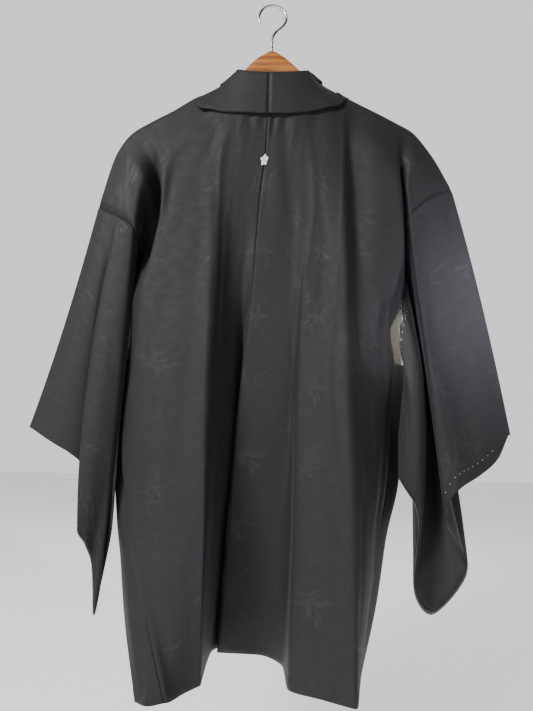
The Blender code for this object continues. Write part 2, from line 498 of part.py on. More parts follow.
# ---- sleeves ---------------------------------------------------------------
def sleeve(name, table, back, front, rows):
    v = np.array(rows, float)
    near, far = sleeve_rows(table, back, front, v)
    first_sewn = next(r[1] for r in table if r[0] == "sewn")
    sewn = v >= first_sewn
    gap = unit(far[1] - near[1])
    tip = near[2] + unit(near[2] - near[1]) * 2.0
    near[2][sewn] -= (gap * 2.2)[sewn]
    far[2][sewn] = (near[2] + gap * 4.4)[sewn]
    n = ray_points(near, SLEEVE_COLS)
    f = ray_points(far, SLEEVE_COLS)
    cut = v <= SLEEVE_SEAM
    for g, lines in ((n, back), (f, front)):
        own = g[:, 1]
        at = lines[-1][0]
        inside = panel(lines, np.array([at - 5.0]), np.minimum(v, SLEEVE_SEAM))[:, 0]
        t = trimmed(g[:, 0], own, inside, slack=SEAM * 3)
        g[cut, 0] = t[cut]
    k = len(SLEEVE_COLS)
    verts = list(n.reshape(-1, 3))
    faces = grid_faces(len(v), k, 0)
    fstart = len(verts)
    verts += list(f.reshape(-1, 3))
    faces += grid_faces(len(v), k, fstart, flip=True)
    prev = list(range(0, k))
    for row in roll(n[0], f[0], 3) + [None]:
        if row is None:
            cur = list(range(fstart, fstart + k))
        else:
            cur = list(range(len(verts), len(verts) + k))
            verts += list(row)
        for j in range(k - 1):
            faces.append((prev[j], cur[j], cur[j + 1], prev[j + 1]))
        prev = cur
    ids = [i for i in range(len(v)) if sewn[i]]
    tips = {}
    for i in ids:
        tips[i] = len(verts)
        verts.append(tip[i])
    for i, i2 in zip(ids[:-1], ids[1:]):
        a, a2 = i * k + k - 1, i2 * k + k - 1
        b, b2 = fstart + a, fstart + a2
        faces.append((a, a2, tips[i2], tips[i]))
        faces.append((tips[i], tips[i2], b2, b))
    return shell(name, verts, faces, SILK)


sleeve("sleeve_left", SLEEVE_LEFT, BACK_LEFT, FRONT_LEFT, SEAM_ROWS + [270, 330, 420])
sleeve("sleeve_right", SLEEVE_RIGHT, BACK_RIGHT, FRONT_RIGHT, SEAM_ROWS + [260, 295, 330, 420])


# ---- collar ----------------------------------------------------------------
def collar(name, table, seam_dir):
    ls = [r[0] for r in table]
    l = np.array([0, 15, 30, 45, 58, 70, 81, 93, 105, 122, 141, 185, 230, 330, 440, 540, 640, 750, 860, 980], float)
    l = np.clip(l, ls[0], ls[-1])
    fold, free, seam = [smooth(ls, np.array([r[k] for r in table], float), l) for k in (1, 2, 3)]
    fold[0, 0] = free[0, 0] = seam[0, 0] = -3.5 + seam_dir * SEAM * 0.6
    up = unit(fold - (free + seam) / 2)
    out = free - seam
    out = unit(out - (out * up).sum(1)[:, None] * up)
    g = 2.6
    rows = [seam,
            (seam * 0.5 + fold * 0.5) - out * g * 0.6,
            fold - out * g - up * g,
            fold,
            fold + out * g - up * g,
            fold * 0.5 + free * 0.5 + out * (g * 0.6),
            free]
    net = np.stack(rows, 1)
    return shell(name, list(net.reshape(-1, 3)), grid_faces(len(l), len(rows), 0), SILK, COLLAR_CLOTH)


collar("collar_left", COLLAR_LEFT, -1)
collar("collar_right", COLLAR_RIGHT, 1)


# ---- crest: plain rounded lobes on the centre seam --------------------------
def back_point(x, v):
    lines = BACK_RIGHT if x >= 0 else BACK_LEFT
    return panel(lines, np.array([abs(x)]), np.array([v]))[0, 0]


def crest(name, v0, radius):
    verts, faces = [], []
    lift = CLOTH / 2 + SEAM + 0.5
    n = 30

    def put(dx, dv):
        p = back_point(dx, v0 + dv)
        a = back_point(dx + 3, v0 + dv) - back_point(dx - 3, v0 + dv)
        b = back_point(dx, v0 + dv + 3) - back_point(dx, v0 + dv - 3)
        nrm = np.cross(a, b)
        nrm /= np.linalg.norm(nrm)
        if nrm[1] > 0:
            nrm = -nrm
        verts.append(p + nrm * lift)

    put(0, 0)
    for ring in (0.5, 1.0):
        for k in range(n):
            a = 2 * math.pi * k / n
            r = radius * ring * (1 - 0.2 * ring * abs(math.sin(2.5 * a)) ** 1.5)
            put(r * math.sin(a), -r * math.cos(a))
    for k in range(n):
        k2 = (k + 1) % n
        faces.append((0, 1 + k, 1 + k2))
        faces.append((1 + k, 1 + n + k, 1 + n + k2, 1 + k2))
    return shell(name, verts, faces, CREST, 0.8)


crest("crest", 97.0, 9.6)

# ---- lining seen through the right side opening ----------------------------
v = np.array([q for q in BODY_ROWS if 192 <= q <= 345], float)
s = np.array([q for q in RIGHT_COLS if q >= 246], float)
g = panel(FRONT_RIGHT, s, v)
du = np.gradient(g, axis=1)
dv = np.gradient(g, axis=0)
nrm = unit(np.cross(du, dv))
nrm *= np.sign((nrm * (np.array([120.0, 0.0, -450.0]) - g)).sum())
g[:, -1] = g[:, -1] * 0.8 + g[:, -2] * 0.2
g = g + nrm * (CLOTH / 2 + SEAM + 1.5)
shell("lining_right", list(g.reshape(-1, 3)), grid_faces(len(v), len(s), 0), LINING, 1.0)


# ---- hanger ----------------------------------------------------------------
def hanger_wood():
    x = np.array([r[0] for r in WOOD], float)
    q = np.linspace(x[0], x[-1], 41)
    top = smooth(x, np.array([r[1] for r in WOOD], float), q)[:, 0]
    deep = smooth(x, np.array([r[2] for r in WOOD], float), q)[:, 0]
    pts = [(a, b) for a, b in zip(q, top)] + [(a, b - d) for a, b, d in zip(q[::-1], top[::-1], deep[::-1])]
    cu = bpy.data.curves.new("hanger_wood", "CURVE")
    cu.dimensions = "2D"
    cu.fill_mode = "BOTH"
    cu.extrude = WOOD_T / 2 * MM
    sp = cu.splines.new("POLY")
    sp.points.add(len(pts) - 1)
    for p, (a, b) in zip(sp.points, pts):
        p.co = (a * MM, b * MM, 0, 1)
    sp.use_cyclic_u = True
    ob = bpy.data.objects.new("hanger_wood", cu)
    ob.rotation_euler = (math.pi / 2, 0, 0)
    cu.materials.append(WOOD_M)
    COLL.objects.link(ob)


def hanger_hook():
    r = HOOK_R
    zc = HOOK_WIRE / 2 - r
    pts = [(0, -79.6), (0, -70), (0, -60), (1.5, -52), (6, -45), (13, -38.5)]
    for k in range(15):
        a = math.radians(-38 + k * 248 / 14)
        pts.append((r * math.cos(a), zc + r * math.sin(a)))
    cu = bpy.data.curves.new("hanger_hook", "CURVE")
    cu.dimensions = "3D"
    cu.bevel_depth = HOOK_WIRE / 2 * MM
    cu.bevel_resolution = 3
    cu.use_fill_caps = True
    sp = cu.splines.new("POLY")
    sp.points.add(len(pts) - 1)
    for p, (a, b) in zip(sp.points, pts):
        p.co = (a * MM, 0, b * MM, 1)
    ob = bpy.data.objects.new("hanger_hook", cu)
    cu.materials.append(WIRE_M)
    COLL.objects.link(ob)


hanger_wood()
hanger_hook()
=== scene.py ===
"""Looks of the haori jacket on its wooden hanger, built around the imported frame."""
import math

import bpy
import numpy as np
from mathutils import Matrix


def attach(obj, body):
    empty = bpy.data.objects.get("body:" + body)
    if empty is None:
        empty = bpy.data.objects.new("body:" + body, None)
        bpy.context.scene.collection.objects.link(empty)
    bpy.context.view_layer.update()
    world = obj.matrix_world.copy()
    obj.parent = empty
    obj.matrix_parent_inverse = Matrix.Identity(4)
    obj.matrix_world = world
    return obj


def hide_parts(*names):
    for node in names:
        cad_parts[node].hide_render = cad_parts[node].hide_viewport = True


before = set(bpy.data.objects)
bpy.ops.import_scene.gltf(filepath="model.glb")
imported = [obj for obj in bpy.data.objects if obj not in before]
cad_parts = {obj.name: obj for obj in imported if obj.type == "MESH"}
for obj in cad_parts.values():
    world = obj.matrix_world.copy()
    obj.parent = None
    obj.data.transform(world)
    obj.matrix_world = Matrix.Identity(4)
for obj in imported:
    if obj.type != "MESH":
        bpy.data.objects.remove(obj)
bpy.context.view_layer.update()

CLOTH = 1.6          # wall of the lined silk, all layers together
COLLAR_CLOTH = 2.2   # collar strip, doubled
SEAM = 0.3           # gap kept between pieces at a seam
SHOULDER_R = 9.0     # the cloth rolls over the hanger with this radius
SLEEVE_SEAM = 230.0  # length of the sleeve sewn to the body
OPENING_END = 345.0  # the side opening ends and the gusset begins here
HEM = 810.0          # level of the hem along the cloth
HOOK_WIRE = 4.0      # diameter of the hook
HOOK_R = 22.0        # radius of the hook's bend at its centre line
WOOD_T = 13.0        # thickness of the hanger
MM = 0.001

# ---- fold lines ------------------------------------------------------------
# Each fold line runs down a panel. Its rows are (v, x, y, z): v is the
# distance down the cloth from the shoulder, x, y, z are in millimetres.
# "at" is the line's place across the cloth, from the centre back seam.

BACK_LEFT = [
    # centre back seam
    (0, [(0, -4, -27, -192), (60, -5, -31, -245), (150, -13, -30, -335), (280, -22, -22, -469),
         (430, -36, -8, -622), (640, -52, 30, -838), (810, -62, 62, -1003)]),
    # bottom of the deep valley, behind the seam
    (30, [(0, -20, -27, -190), (60, -24, -31, -245), (150, -30, -30, -335), (280, -34, -13, -470),
          (430, -33, 28, -622), (640, -40, 66, -838), (810, -52, 92, -1003)]),
    (70, [(0, -40, -27, -187), (60, -45, -32, -245), (150, -47, -31, -335), (280, -49, -19, -470),
          (430, -45, 2, -624), (640, -60, 40, -834), (810, -71, 64, -1003)]),
    # wall of the valley
    (120, [(0, -62, -24, -180), (60, -68, -31, -243), (150, -65, -33, -336), (280, -66, -34, -470),
           (430, -64, -26, -630), (640, -69, -6, -828), (810, -74, 12, -1002)]),
    # ridge left of the valley
    (168, [(0, -86, -17, -170), (60, -92, -28, -241), (150, -84, -35, -338), (280, -82, -48, -482),
           (430, -81, -56, -639), (640, -76, -58, -821), (810, -75, -46, -1001)]),
    # line below the neck point
    (186, [(0, -102, -9, -168), (60, -110, -27, -242), (150, -102, -33, -338), (280, -100, -44, -484),
           (430, -99, -51, -640), (640, -93, -56, -823), (810, -84, -50, -1004)]),
    # middle of the side facet
    (218, [(0, -150, -9, -197), (60, -147, -25, -250), (150, -141, -33, -339), (280, -142, -40, -490),
           (430, -139, -45, -640), (640, -123, -51, -823), (810, -97, -60, -1007)]),
    # ridge below the hanger's end
    (250, [(0, -184, -9, -217), (60, -166, -25, -272), (150, -156, -33, -350), (215, -165, -34, -420),
           (280, -176, -34, -482), (345, -180, -30, -560), (430, -185, -26, -640), (640, -158, -36, -822),
           (810, -105, -69, -1009)]),
    # bottom of the valley beside the sleeve
    (268, [(0, -206, -9, -232), (45, -184, -14, -266), (85, -170, 10, -300), (130, -168, 26, -350),
           (180, -172, 16, -400), (235, -180, -12, -455), (285, -189, -24, -496), (345, -189, -22, -570),
           (430, -195, -18, -655), (640, -172, -32, -824), (810, -108, -73, -1009)]),
    # ridge on the sleeve's side of that valley
    (292, [(0, -229, -7, -262), (40, -206, -18, -285), (75, -190, -22, -307), (100, -184, -8, -330),
           (135, -184, 22, -365), (175, -187, 20, -410), (225, -191, -8, -460), (280, -195, -16, -510),
           (345, -195, -14, -575), (430, -201, -12, -668), (640, -177, -28, -826), (810, -111, -75, -1009)]),
    # edge: sleeve seam, side opening, gusset seam
    (314, [(0, -255, -4, -349), (18, -240, -12, -359), (42, -217, -20, -371), (66, -200, -21, -384),
           (84, -197, -8, -398), (120, -207, 30, -421), (165, -204, 26, -452), (200, -200, 11, -477),
           (230, -197, -1, -498), (260, -195, -4, -520),
           (345, -197, -4, -580), (430, -202, -3, -672), (520, -189, -10, -752), (640, -165, -28, -846),
           (730, -144, -48, -928), (810, -114, -76, -1009)]),
]

BACK_RIGHT = [
    (0, [(0, -4, -27, -192), (60, -5, -31, -245), (150, -13, -30, -335), (280, -22, -22, -469),
         (430, -36, -8, -622), (640, -52, 30, -838), (810, -62, 62, -1003)]),
    # floor of the centre
    (52, [(0, 24, -27, -189), (60, 22, -30, -239), (150, 27, -31, -334), (280, 33, -28, -469),
          (430, 34, -14, -620), (640, 22, 24, -836), (810, 0, 56, -1003)]),
    # far side of the small step
    (92, [(0, 48, -26, -184), (60, 46, -31, -240), (150, 50, -33, -335), (280, 46, -30, -470),
          (430, 41, -18, -621), (640, 41, 2, -832), (810, 34, 18, -1004)]),
    # near side of the small step
    (132, [(0, 66, -22, -178), (60, 66, -31, -241), (150, 68, -36, -336), (280, 56, -36, -471),
           (430, 46, -33, -622), (640, 42, -32, -826), (810, 37, -42, -1005)]),
    # facet between step and ridge
    (168, [(0, 84, -16, -168), (60, 88, -29, -230), (150, 86, -39, -337), (280, 84, -43, -473),
           (430, 78, -46, -622), (640, 78, -56, -818), (810, 79, -68, -1005)]),
    # line below the neck point
    (190, [(0, 100, -9, -158), (60, 102, -27, -226), (150, 100, -41, -338), (280, 100, -48, -474),
           (430, 98, -52, -622), (640, 102, -64, -808), (810, 100, -80, -1005)]),
    # crisp ridge of the right side
    (206, [(0, 112, -9, -166), (60, 110, -26, -225), (150, 108, -42, -338), (280, 111, -51, -474),
           (430, 112, -57, -622), (640, 118, -69, -805), (810, 116, -88, -1005)]),
    # groove beside the ridge
    (224, [(0, 134, -9, -178), (60, 122, -20, -245), (150, 127, -22, -328), (280, 129, -30, -468),
           (430, 130, -40, -620), (640, 132, -56, -808), (810, 121, -76, -1006)]),
    (246, [(0, 165, -9, -194), (60, 158, -25, -250), (150, 160, -30, -332), (280, 161, -33, -468),
           (430, 152, -22, -622), (640, 145, -36, -812), (810, 123, -66, -1006)]),
    # ridge below the hanger's end
    (266, [(0, 196, -9, -211), (60, 190, -22, -262), (150, 194, -30, -335), (215, 197, -30, -405),
           (280, 188, -28, -468), (310, 174, -22, -508), (345, 168, -18, -550), (430, 168, -4, -634), (640, 154, -20, -816),
           (810, 124, -58, -1006)]),
    # bottom of the valley beside the sleeve
    (284, [(0, 213, -9, -221), (45, 203, -11, -258), (85, 203, 14, -300), (130, 205, 32, -345),
           (180, 206, 22, -400), (235, 203, -6, -452), (262, 195, -17, -476), (300, 178, -17, -518), (345, 176, -12, -564),
           (430, 177, 8, -650), (640, 159, -10, -818), (810, 125, -52, -1006)]),
    # ridge on the sleeve's side of that valley
    (304, [(0, 244, -7, -257), (38, 222, -17, -280), (70, 207, -20, -308), (92, 205, -4, -332),
           (125, 210, 28, -360), (160, 211, 36, -395), (210, 207, 10, -440), (252, 196, -11, -480), (288, 180, -13, -526),
           (345, 183, -6, -572), (430, 182, 16, -664), (640, 164, 0, -820), (810, 126, -48, -1006)]),
    # edge: sleeve seam, side opening, gusset seam
    (326, [(0, 276, -4, -311), (18, 259, -10, -319), (40, 238, -15, -332), (72, 212, -19, -359),
           (87, 209, -12, -374), (111, 213, 14, -384), (134, 217, 38, -395), (148, 218, 46, -409),
           (165, 216, 40, -427), (192, 211, 20, -452), (230, 204, -6, -486), (262, 191, -9, -508), (292, 181, -8, -534),
           (345, 189, 0, -578), (430, 186, 24, -672), (520, 181, 26, -752), (640, 166, 12, -824),
           (730, 147, -8, -922), (810, 127, -45, -1006)]),
]

# fronts, from the collar seam outward; they share the shoulder with the back
FRONT_LEFT = [
    (186, [(0, -102, 9, -168), (60, -98, 25, -236), (150, -92, 38, -331), (280, -84, 52, -470),
           (430, -77, 68, -622), (640, -68, 92, -838), (810, -62, 112, -1004)]),
    (200, [(0, -120, 9, -179), (60, -114, 29, -239), (150, -108, 45, -333), (280, -100, 64, -471),
           (430, -92, 86, -624), (640, -86, 120, -838), (810, -84, 146, -1004)]),
    (218, [(0, -150, 9, -197), (60, -142, 31, -246), (150, -136, 44, -337), (280, -128, 58, -474),
           (430, -120, 74, -626), (640, -112, 94, -838), (810, -108, 110, -1004)]),
    (250, [(0, -184, 9, -217), (60, -176, 27, -268), (150, -172, 38, -345), (215, -174, 44, -410),
           (280, -176, 46, -478), (345, -172, 46, -552), (430, -166, 50, -632), (640, -150, 58, -834),
           (810, -136, 50, -1006)]),
    (268, [(0, -206, 9, -232), (45, -194, 24, -266), (85, -189, 40, -304), (130, -190, 54, -350),
           (180, -194, 62, -402), (235, -196, 60, -458), (285, -198, 54, -508), (345, -196, 50, -568),
           (430, -190, 50, -650), (640, -170, 46, -836), (810, -144, 20, -1008)]),
    (292, [(0, -229, 7, -262), (40, -214, 20, -288), (75, -206, 36, -318), (100, -203, 48, -345),
           (135, -205, 60, -384), (175, -207, 64, -424), (225, -207, 56, -474), (280, -204, 48, -520),
           (345, -201, 42, -576), (430, -203, 38, -668), (640, -186, 28, -842), (810, -148, -24, -1010)]),
    (314, [(0, -255, 4, -349), (18, -243, 12, -358), (42, -228, 24, -370), (66, -220, 36, -383),
           (84, -218, 44, -397), (120, -219, 58, -423), (170, -215, 58, -457), (230, -212, 38, -494),
           (260, -209, 33, -516), (345, -209, 24, -580), (430, -211, 24, -676), (520, -209, 13, -780), (640, -196, 2, -866),
           (730, -181, -18, -938), (810, -152, -68, -1012)]),
]

FRONT_RIGHT = [
    (190, [(0, 100, 9, -158), (60, 98, 25, -229), (150, 93, 38, -328), (280, 84, 52, -470),
           (430, 74, 68, -622), (640, 62, 92, -838), (810, 52, 112, -1004)]),
    (206, [(0, 112, 9, -166), (60, 110, 30, -232), (150, 108, 48, -331), (280, 98, 68, -471),
           (430, 88, 90, -624), (640, 78, 120, -838), (810, 70, 146, -1004)]),
    (224, [(0, 134, 9, -178), (60, 130, 31, -240), (150, 130, 48, -335), (280, 122, 62, -473),
           (430, 114, 78, -625), (640, 100, 98, -838), (810, 92, 110, -1004)]),
    (246, [(0, 165, 9, -194), (60, 158, 28, -250), (150, 158, 42, -340), (280, 150, 52, -476),
           (430, 142, 60, -628), (640, 126, 72, -836), (810, 108, 64, -1005)]),
    (266, [(0, 196, 9, -211), (60, 188, 26, -262), (150, 184, 40, -342), (215, 186, 48, -405),
           (280, 184, 52, -474), (345, 178, 54, -548), (430, 170, 58, -634), (640, 150, 64, -834),
           (810, 118, 46, -1006)]),
    (284, [(0, 213, 9, -221), (45, 205, 24, -258), (85, 202, 42, -300), (130, 205, 58, -345),
           (180, 206, 68, -400), (235, 204, 68, -452), (285, 198, 62, -500), (345, 192, 58, -562),
           (430, 188, 62, -650), (640, 166, 64, -834), (810, 126, 36, -1006)]),
    (304, [(0, 244, 7, -257), (38, 230, 20, -282), (70, 220, 38, -310), (92, 217, 52, -335),
           (125, 217, 66, -372), (160, 218, 74, -410), (210, 214, 72, -452), (270, 206, 60, -505),
           (345, 199, 50, -570), (430, 198, 60, -660), (640, 180, 62, -832), (810, 133, 28, -1006)]),
    (326, [(0, 276, 4, -311), (18, 262, 12, -319), (40, 244, 24, -332), (72, 230, 42, -358),
           (87, 227, 52, -372), (111, 227, 66, -386), (134, 228, 76, -400), (148, 228, 79, -412),
           (165, 226, 79, -430), (192, 222, 70, -455), (230, 215, 51, -488), (288, 209, 39, -532),
           (345, 208, 32, -578), (430, 207, 54, -674), (520, 203, 66, -754), (640, 188, 64, -828),
           (730, 168, 50, -926), (810, 139, 22, -1006)]),
]

# gussets: back seam, middle and front seam are fold lines too
GUSSET_LEFT_MID = [(345, -206, 9, -580), (430, -210, 9, -674), (520, -205, -1, -768), (640, -184, -17, -858),
                   (730, -166, -40, -934), (810, -134, -78, -1012)]
GUSSET_RIGHT_MID = [(345, 203, 13, -579), (390, 208, 24, -628), (430, 210, 38, -673), (520, 203, 45, -752), (640, 184, 40, -826),
                    (730, 163, 22, -924), (810, 134, -12, -1006)]

# sleeves: each row is a fold ray, from the seam or the free inner edge
# (start) through the middle to the cuff or the bottom edge (end).
# kind: "open" ends on the open cuff, "sewn" ends on the closed edge
#        v-start        near start        near middle        near end            far start        far middle         far end
SLEEVE_RIGHT = [
    ("open", 0,   (276, 0, -311),   (315, 0, -484),   (350, 0, -678),   None, None, None),
    ("open", 18,  (259, -10, -319), (288, -14, -500), (326, -19, -713), (262, 12, -319), (292, 20, -500), (330, 24, -712)),
    ("open", 40,  (238, -15, -332), (252, -23, -523), (299, -28, -733), (244, 24, -332), (270, 46, -520), (312, 54, -733)),
    ("open", 72,  (212, -19, -359), (224, -33, -528), (265, -35, -754), (230, 42, -358), (262, 72, -540), (300, 70, -754)),
    ("sewn", 87,  (209, -12, -374), (226, -27, -560), (251, -27, -778), (227, 52, -372), (270, 88, -570), None),
    ("sewn", 111, (213, 14, -384),  (240, 10, -600),  (254, -14, -800), (227, 66, -386), (284, 84, -640), None),
    ("sewn", 134, (217, 38, -395),  (252, 42, -640),  (284, -8, -858),  (228, 76, -400), (290, 78, -680), None),
    ("sewn", 148, (218, 46, -409),  (254, 54, -672),  (262, -12, -894), (228, 79, -412), (274, 92, -700), None),
    ("sewn", 165, (216, 40, -427),  (250, 46, -672),  (231, -14, -918), (226, 79, -430), (250, 82, -700), None),
    ("sewn", 192, (211, 20, -452),  (238, 22, -655),  (210, -10, -885),  (222, 70, -455), (228, 60, -680), None),
    ("sewn", 216, (207, 3, -474),   (229, -10, -630), (216, -18, -803), (217, 56, -474), (221, 40, -640), None),
    ("furi", 260, (200, -12, -508),  (214, -30, -632), (208, -20, -768), (213, 30, -510), (215, 12, -632), None),
    ("furi", 295, (194, -14, -549),  (206, -28, -648), (203, -18, -760), (210, 16, -549), (211, 4, -648), None),
    ("furi", 330, (199, -15, -584),  (201, -24, -666), (198, -16, -752), (209, 4, -584), (207, -4, -666), None),
    ("furi", 420, (191, -14, -680),  (190, -14, -708),  (190, -12, -738),  (194, -1, -680), (192, -3, -708), None),
]
SLEEVE_LEFT = [
    ("open", 0,   (-255, 0, -349),   (-293, 0, -529),   (-333, 0, -682),   None, None, None),
    ("open", 12,  (-245, -9, -355),  (-271, -12, -540), (-293, -15, -704), (-247, 9, -355), (-274, 16, -540), (-300, 24, -704)),
    ("open", 18,  (-240, -12, -359), (-255, -13, -561), (-261, -12, -724), (-243, 12, -358), (-262, 30, -560), (-276, 46, -724)),
    ("sewn", 30,  (-228, -17, -365), (-241, 0, -581),   (-230, 20, -790),  (-235, 19, -364), (-254, 42, -580), None),
    ("sewn", 36,  (-222, -19, -368), (-247, -30, -592), (-248, -33, -811), (-231, 22, -367), (-258, 48, -600), None),
    ("sewn", 56,  (-207, -21, -378), (-224, -37, -600), (-238, -27, -834), (-224, 30, -377), (-254, 54, -640), None),
    ("sewn", 72,  (-199, -18, -388), (-206, -32, -620), (-232, -12, -862), (-219, 38, -386), (-246, 54, -660), None),
    ("sewn", 96,  (-199, 6, -407),   (-203, -21, -654), (-228, -2, -932),  (-218, 49, -406), (-234, 50, -680), None),
    ("sewn", 140, (-207, 32, -434),  (-213, 2, -668),   (-221, 0, -887),   (-218, 60, -438), (-223, 38, -690), None),
    ("furi", 250, (-201, -11, -517),  (-203, -21, -680), (-208, -11, -812),  (-216, 26, -515), (-217, 12, -680), None),
    ("furi", 420, (-204, -20, -690), (-205, -19, -735), (-208, -13, -786),  (-215, -2, -690), (-215, -3, -735), None),
]

# collar: rows along its length, from the centre back over the shoulder to the
# front hem. fold = the folded upper edge, free = the loose outer edge,
# seam = the hidden edge inside, next to the neck.
#  l      fold               free                 seam
COLLAR_LEFT = [
    (0,   (-3, -26, -135),   (-5, -40, -207),    (-4, -22, -190)),
    (30,  (-30, -24, -133),  (-36, -39, -206),   (-32, -21, -187)),
    (58,  (-50, -15, -124),  (-72, -35, -203),   (-56, -15, -168)),
    (70,  (-53, -8, -120),   (-90, -33, -197),   (-68, -12, -147)),
    (80,  (-56, 0, -118),    (-107, -29, -191),  (-80, 0, -139)),
    (92,  (-58, 10, -121),   (-119, -16.8, -173.0),  (-82, 10, -140)),
    (104, (-60, 18, -128),   (-125, 2, -162.1),  (-82, 16, -148)),
    (122, (-60, 27, -143),   (-127, 26, -175.0),   (-84, 21, -164)),
    (140, (-60, 34, -160),   (-126, 43, -200),   (-86, 25, -182)),
    (230, (-56, 48, -250),   (-118, 60, -280),   (-88, 32, -262)),
    (440, (-46, 70, -462),   (-106, 84, -480),   (-82, 48, -470)),
    (640, (-38, 92, -662),   (-98, 112, -672),   (-74, 66, -668)),
    (860, (-33, 118, -880),  (-92, 144, -884),   (-68, 92, -882)),
    (980, (-30, 130, -1000), (-89, 160, -1002),  (-66, 106, -1001)),
]
COLLAR_RIGHT = [
    (0,   (-3, -26, -135),  (-5, -40, -207),   (-4, -22, -190)),
    (30,  (26, -24, -133),  (32, -39, -205),   (26, -21, -187)),
    (60,  (54, -15, -124),  (70, -35, -197),   (56, -15, -162)),
    (71,  (58, -8, -119),   (88, -33, -189),   (68, -12, -138)),
    (82,  (62, 0, -116),    (103, -28, -182),  (80, 0, -131)),
    (94,  (63, 10, -119),   (115, -16.8, -164.0),  (82, 10, -133)),
    (106, (64, 18, -126),   (123, 2, -153.1),  (84, 16, -142)),
    (124, (64, 27, -141),   (125, 26, -167.2),   (85, 21, -160)),
    (142, (63, 34, -158),   (124, 43, -194),   (86, 25, -178)),
    (230, (58, 48, -248),   (118, 62, -276),   (88, 32, -260)),
    (440, (46, 70, -462),   (106, 86, -480),   (80, 48, -470)),
    (640, (38, 92, -662),   (98, 114, -672),   (70, 66, -668)),
    (860, (28, 118, -880),  (88, 146, -884),   (60, 92, -882)),
    (980, (24, 130, -1000), (84, 160, -1002),  (54, 106, -1001)),
]

# hanger body: x, top z, depth of the wood below the top
WOOD = [(-190, -224, 16), (-160, -204, 22), (-120, -178, 27), (-80, -152, 31), (-47, -121, 36),
        (-35, -105, 38), (-16, -88, 42), (0, -80, 44), (16, -88, 42), (36, -105, 38), (52, -121, 36),
        (84, -149, 31), (124, -172, 27), (165, -196, 22), (196, -218, 16)]


def slopes(x, y):
    """Monotone cubic slopes for knots x and rows of values y."""
    h = np.diff(x)[:, None]
    d = np.diff(y, axis=0) / h
    m = np.zeros_like(y)
    if len(x) == 2:
        return np.repeat(d, 2, axis=0)
    w1 = 2 * h[1:] + h[:-1]
    w2 = h[1:] + 2 * h[:-1]
    same = d[1:] * d[:-1] > 0
    safe0 = np.where(same, d[:-1], 1.0)
    safe1 = np.where(same, d[1:], 1.0)
    m[1:-1] = np.where(same, (w1 + w2) / (w1 / safe0 + w2 / safe1), 0.0)
    m[0] = d[0]
    m[-1] = d[-1]
    return m


def smooth(x, y, q):
    """Smooth curve through the knots (x, y), read at q."""
    x = np.asarray(x, float)
    y = np.asarray(y, float).reshape(len(x), -1)
    q = np.clip(np.asarray(q, float), x[0], x[-1])
    m = slopes(x, y)
    k = np.clip(np.searchsorted(x, q, side="right") - 1, 0, len(x) - 2)
    h = (x[k + 1] - x[k])[:, None]
    t = ((q - x[k])[:, None]) / h
    h00 = 2 * t ** 3 - 3 * t ** 2 + 1
    h10 = t ** 3 - 2 * t ** 2 + t
    h01 = -2 * t ** 3 + 3 * t ** 2
    h11 = t ** 3 - t ** 2
    return h00 * y[k] + h10 * h * m[k] + h01 * y[k + 1] + h11 * h * m[k + 1]


def line_at(rows, v):
    rows = np.asarray(rows, float)
    return smooth(rows[:, 0], rows[:, 1:], v)


def panel(lines, s, v):
    """Grid of points [row v][column s] on a panel given by its fold lines."""
    at = [a for a, _ in lines]
    net = np.stack([line_at(rows, v) for _, rows in lines])      # line, v, xyz
    out = smooth(at, net.reshape(len(at), -1), s)
    return out.reshape(len(s), len(v), 3).transpose(1, 0, 2)


def roll(back, front, steps):
    """Rows that carry the cloth over the shoulder from one v=0 row to the other."""
    mid = (back + front) / 2
    half = (front - back) / 2
    tan = np.gradient(mid, axis=0)
    up = np.stack([-tan[:, 2], 0 * tan[:, 0], tan[:, 0]], 1)
    up *= np.sign(up[:, 2:3] + 1e-9)
    up /= np.linalg.norm(up, axis=1)[:, None]
    r = np.linalg.norm(half, axis=1)[:, None]
    out = []
    for k in range(1, steps + 1):
        a = math.pi * k / (steps + 1)
        out.append(mid - half * math.cos(a) + up * r * math.sin(a))
    return out


def unit(v):
    return v / np.maximum(np.linalg.norm(v, axis=-1, keepdims=True), 1e-9)


def trimmed(edge, own, other, thick=CLOTH, slack=SEAM * 0.9):
    run = unit(np.gradient(edge, axis=0))
    a = own - edge
    a = unit(a - (a * run).sum(-1)[..., None] * run)
    b = other - edge
    b = unit(b - (b * run).sum(-1)[..., None] * run)
    bend = np.arccos(np.clip(-(a * b).sum(-1), -1, 1))
    back = 0.08 + np.minimum(0.8, thick / 2 * np.tan(np.clip(bend, 0, 2.2) / 2))
    return edge + a * back[..., None]


def grid_faces(rows, cols, start, flip=False):
    f = []
    for i in range(rows - 1):
        for j in range(cols - 1):
            a = start + i * cols + j
            q = (a, a + 1, a + cols + 1, a + cols)
            f.append(q[::-1] if flip else q)
    return f


def ray_points(p, t):
    a, b, c = p
    t = np.asarray(t)[None, :, None]
    a, b, c = a[:, None], b[:, None], c[:, None]
    return (2 * (t - 0.5) * (t - 1)) * a + (4 * t * (1 - t)) * b + (2 * t * (t - 0.5)) * c


def sleeve_rows(table, back, front, v):
    tv = [r[1] for r in table]
    ns = np.array([r[2] for r in table], float)
    nm = np.array([r[3] for r in table], float)
    ne = np.array([r[4] for r in table], float)
    fs = np.array([r[5] or r[2] for r in table], float)
    fm = np.array([r[6] or r[3] for r in table], float)
    fe = np.array([r[7] or r[4] for r in table], float)
    nm[0, 1] = ne[0, 1] = -4.0
    fm[0], fe[0] = nm[0], ne[0]
    fm[0, 1] = fe[0, 1] = 4.0
    near = [smooth(tv, q, v) for q in (ns, nm, ne)]
    far = [smooth(tv, q, v) for q in (fs, fm, fe)]
    seam = v <= SLEEVE_SEAM
    near[0][seam] = line_at(back[-1][1], v[seam])
    far[0][seam] = line_at(front[-1][1], v[seam])
    return near, far


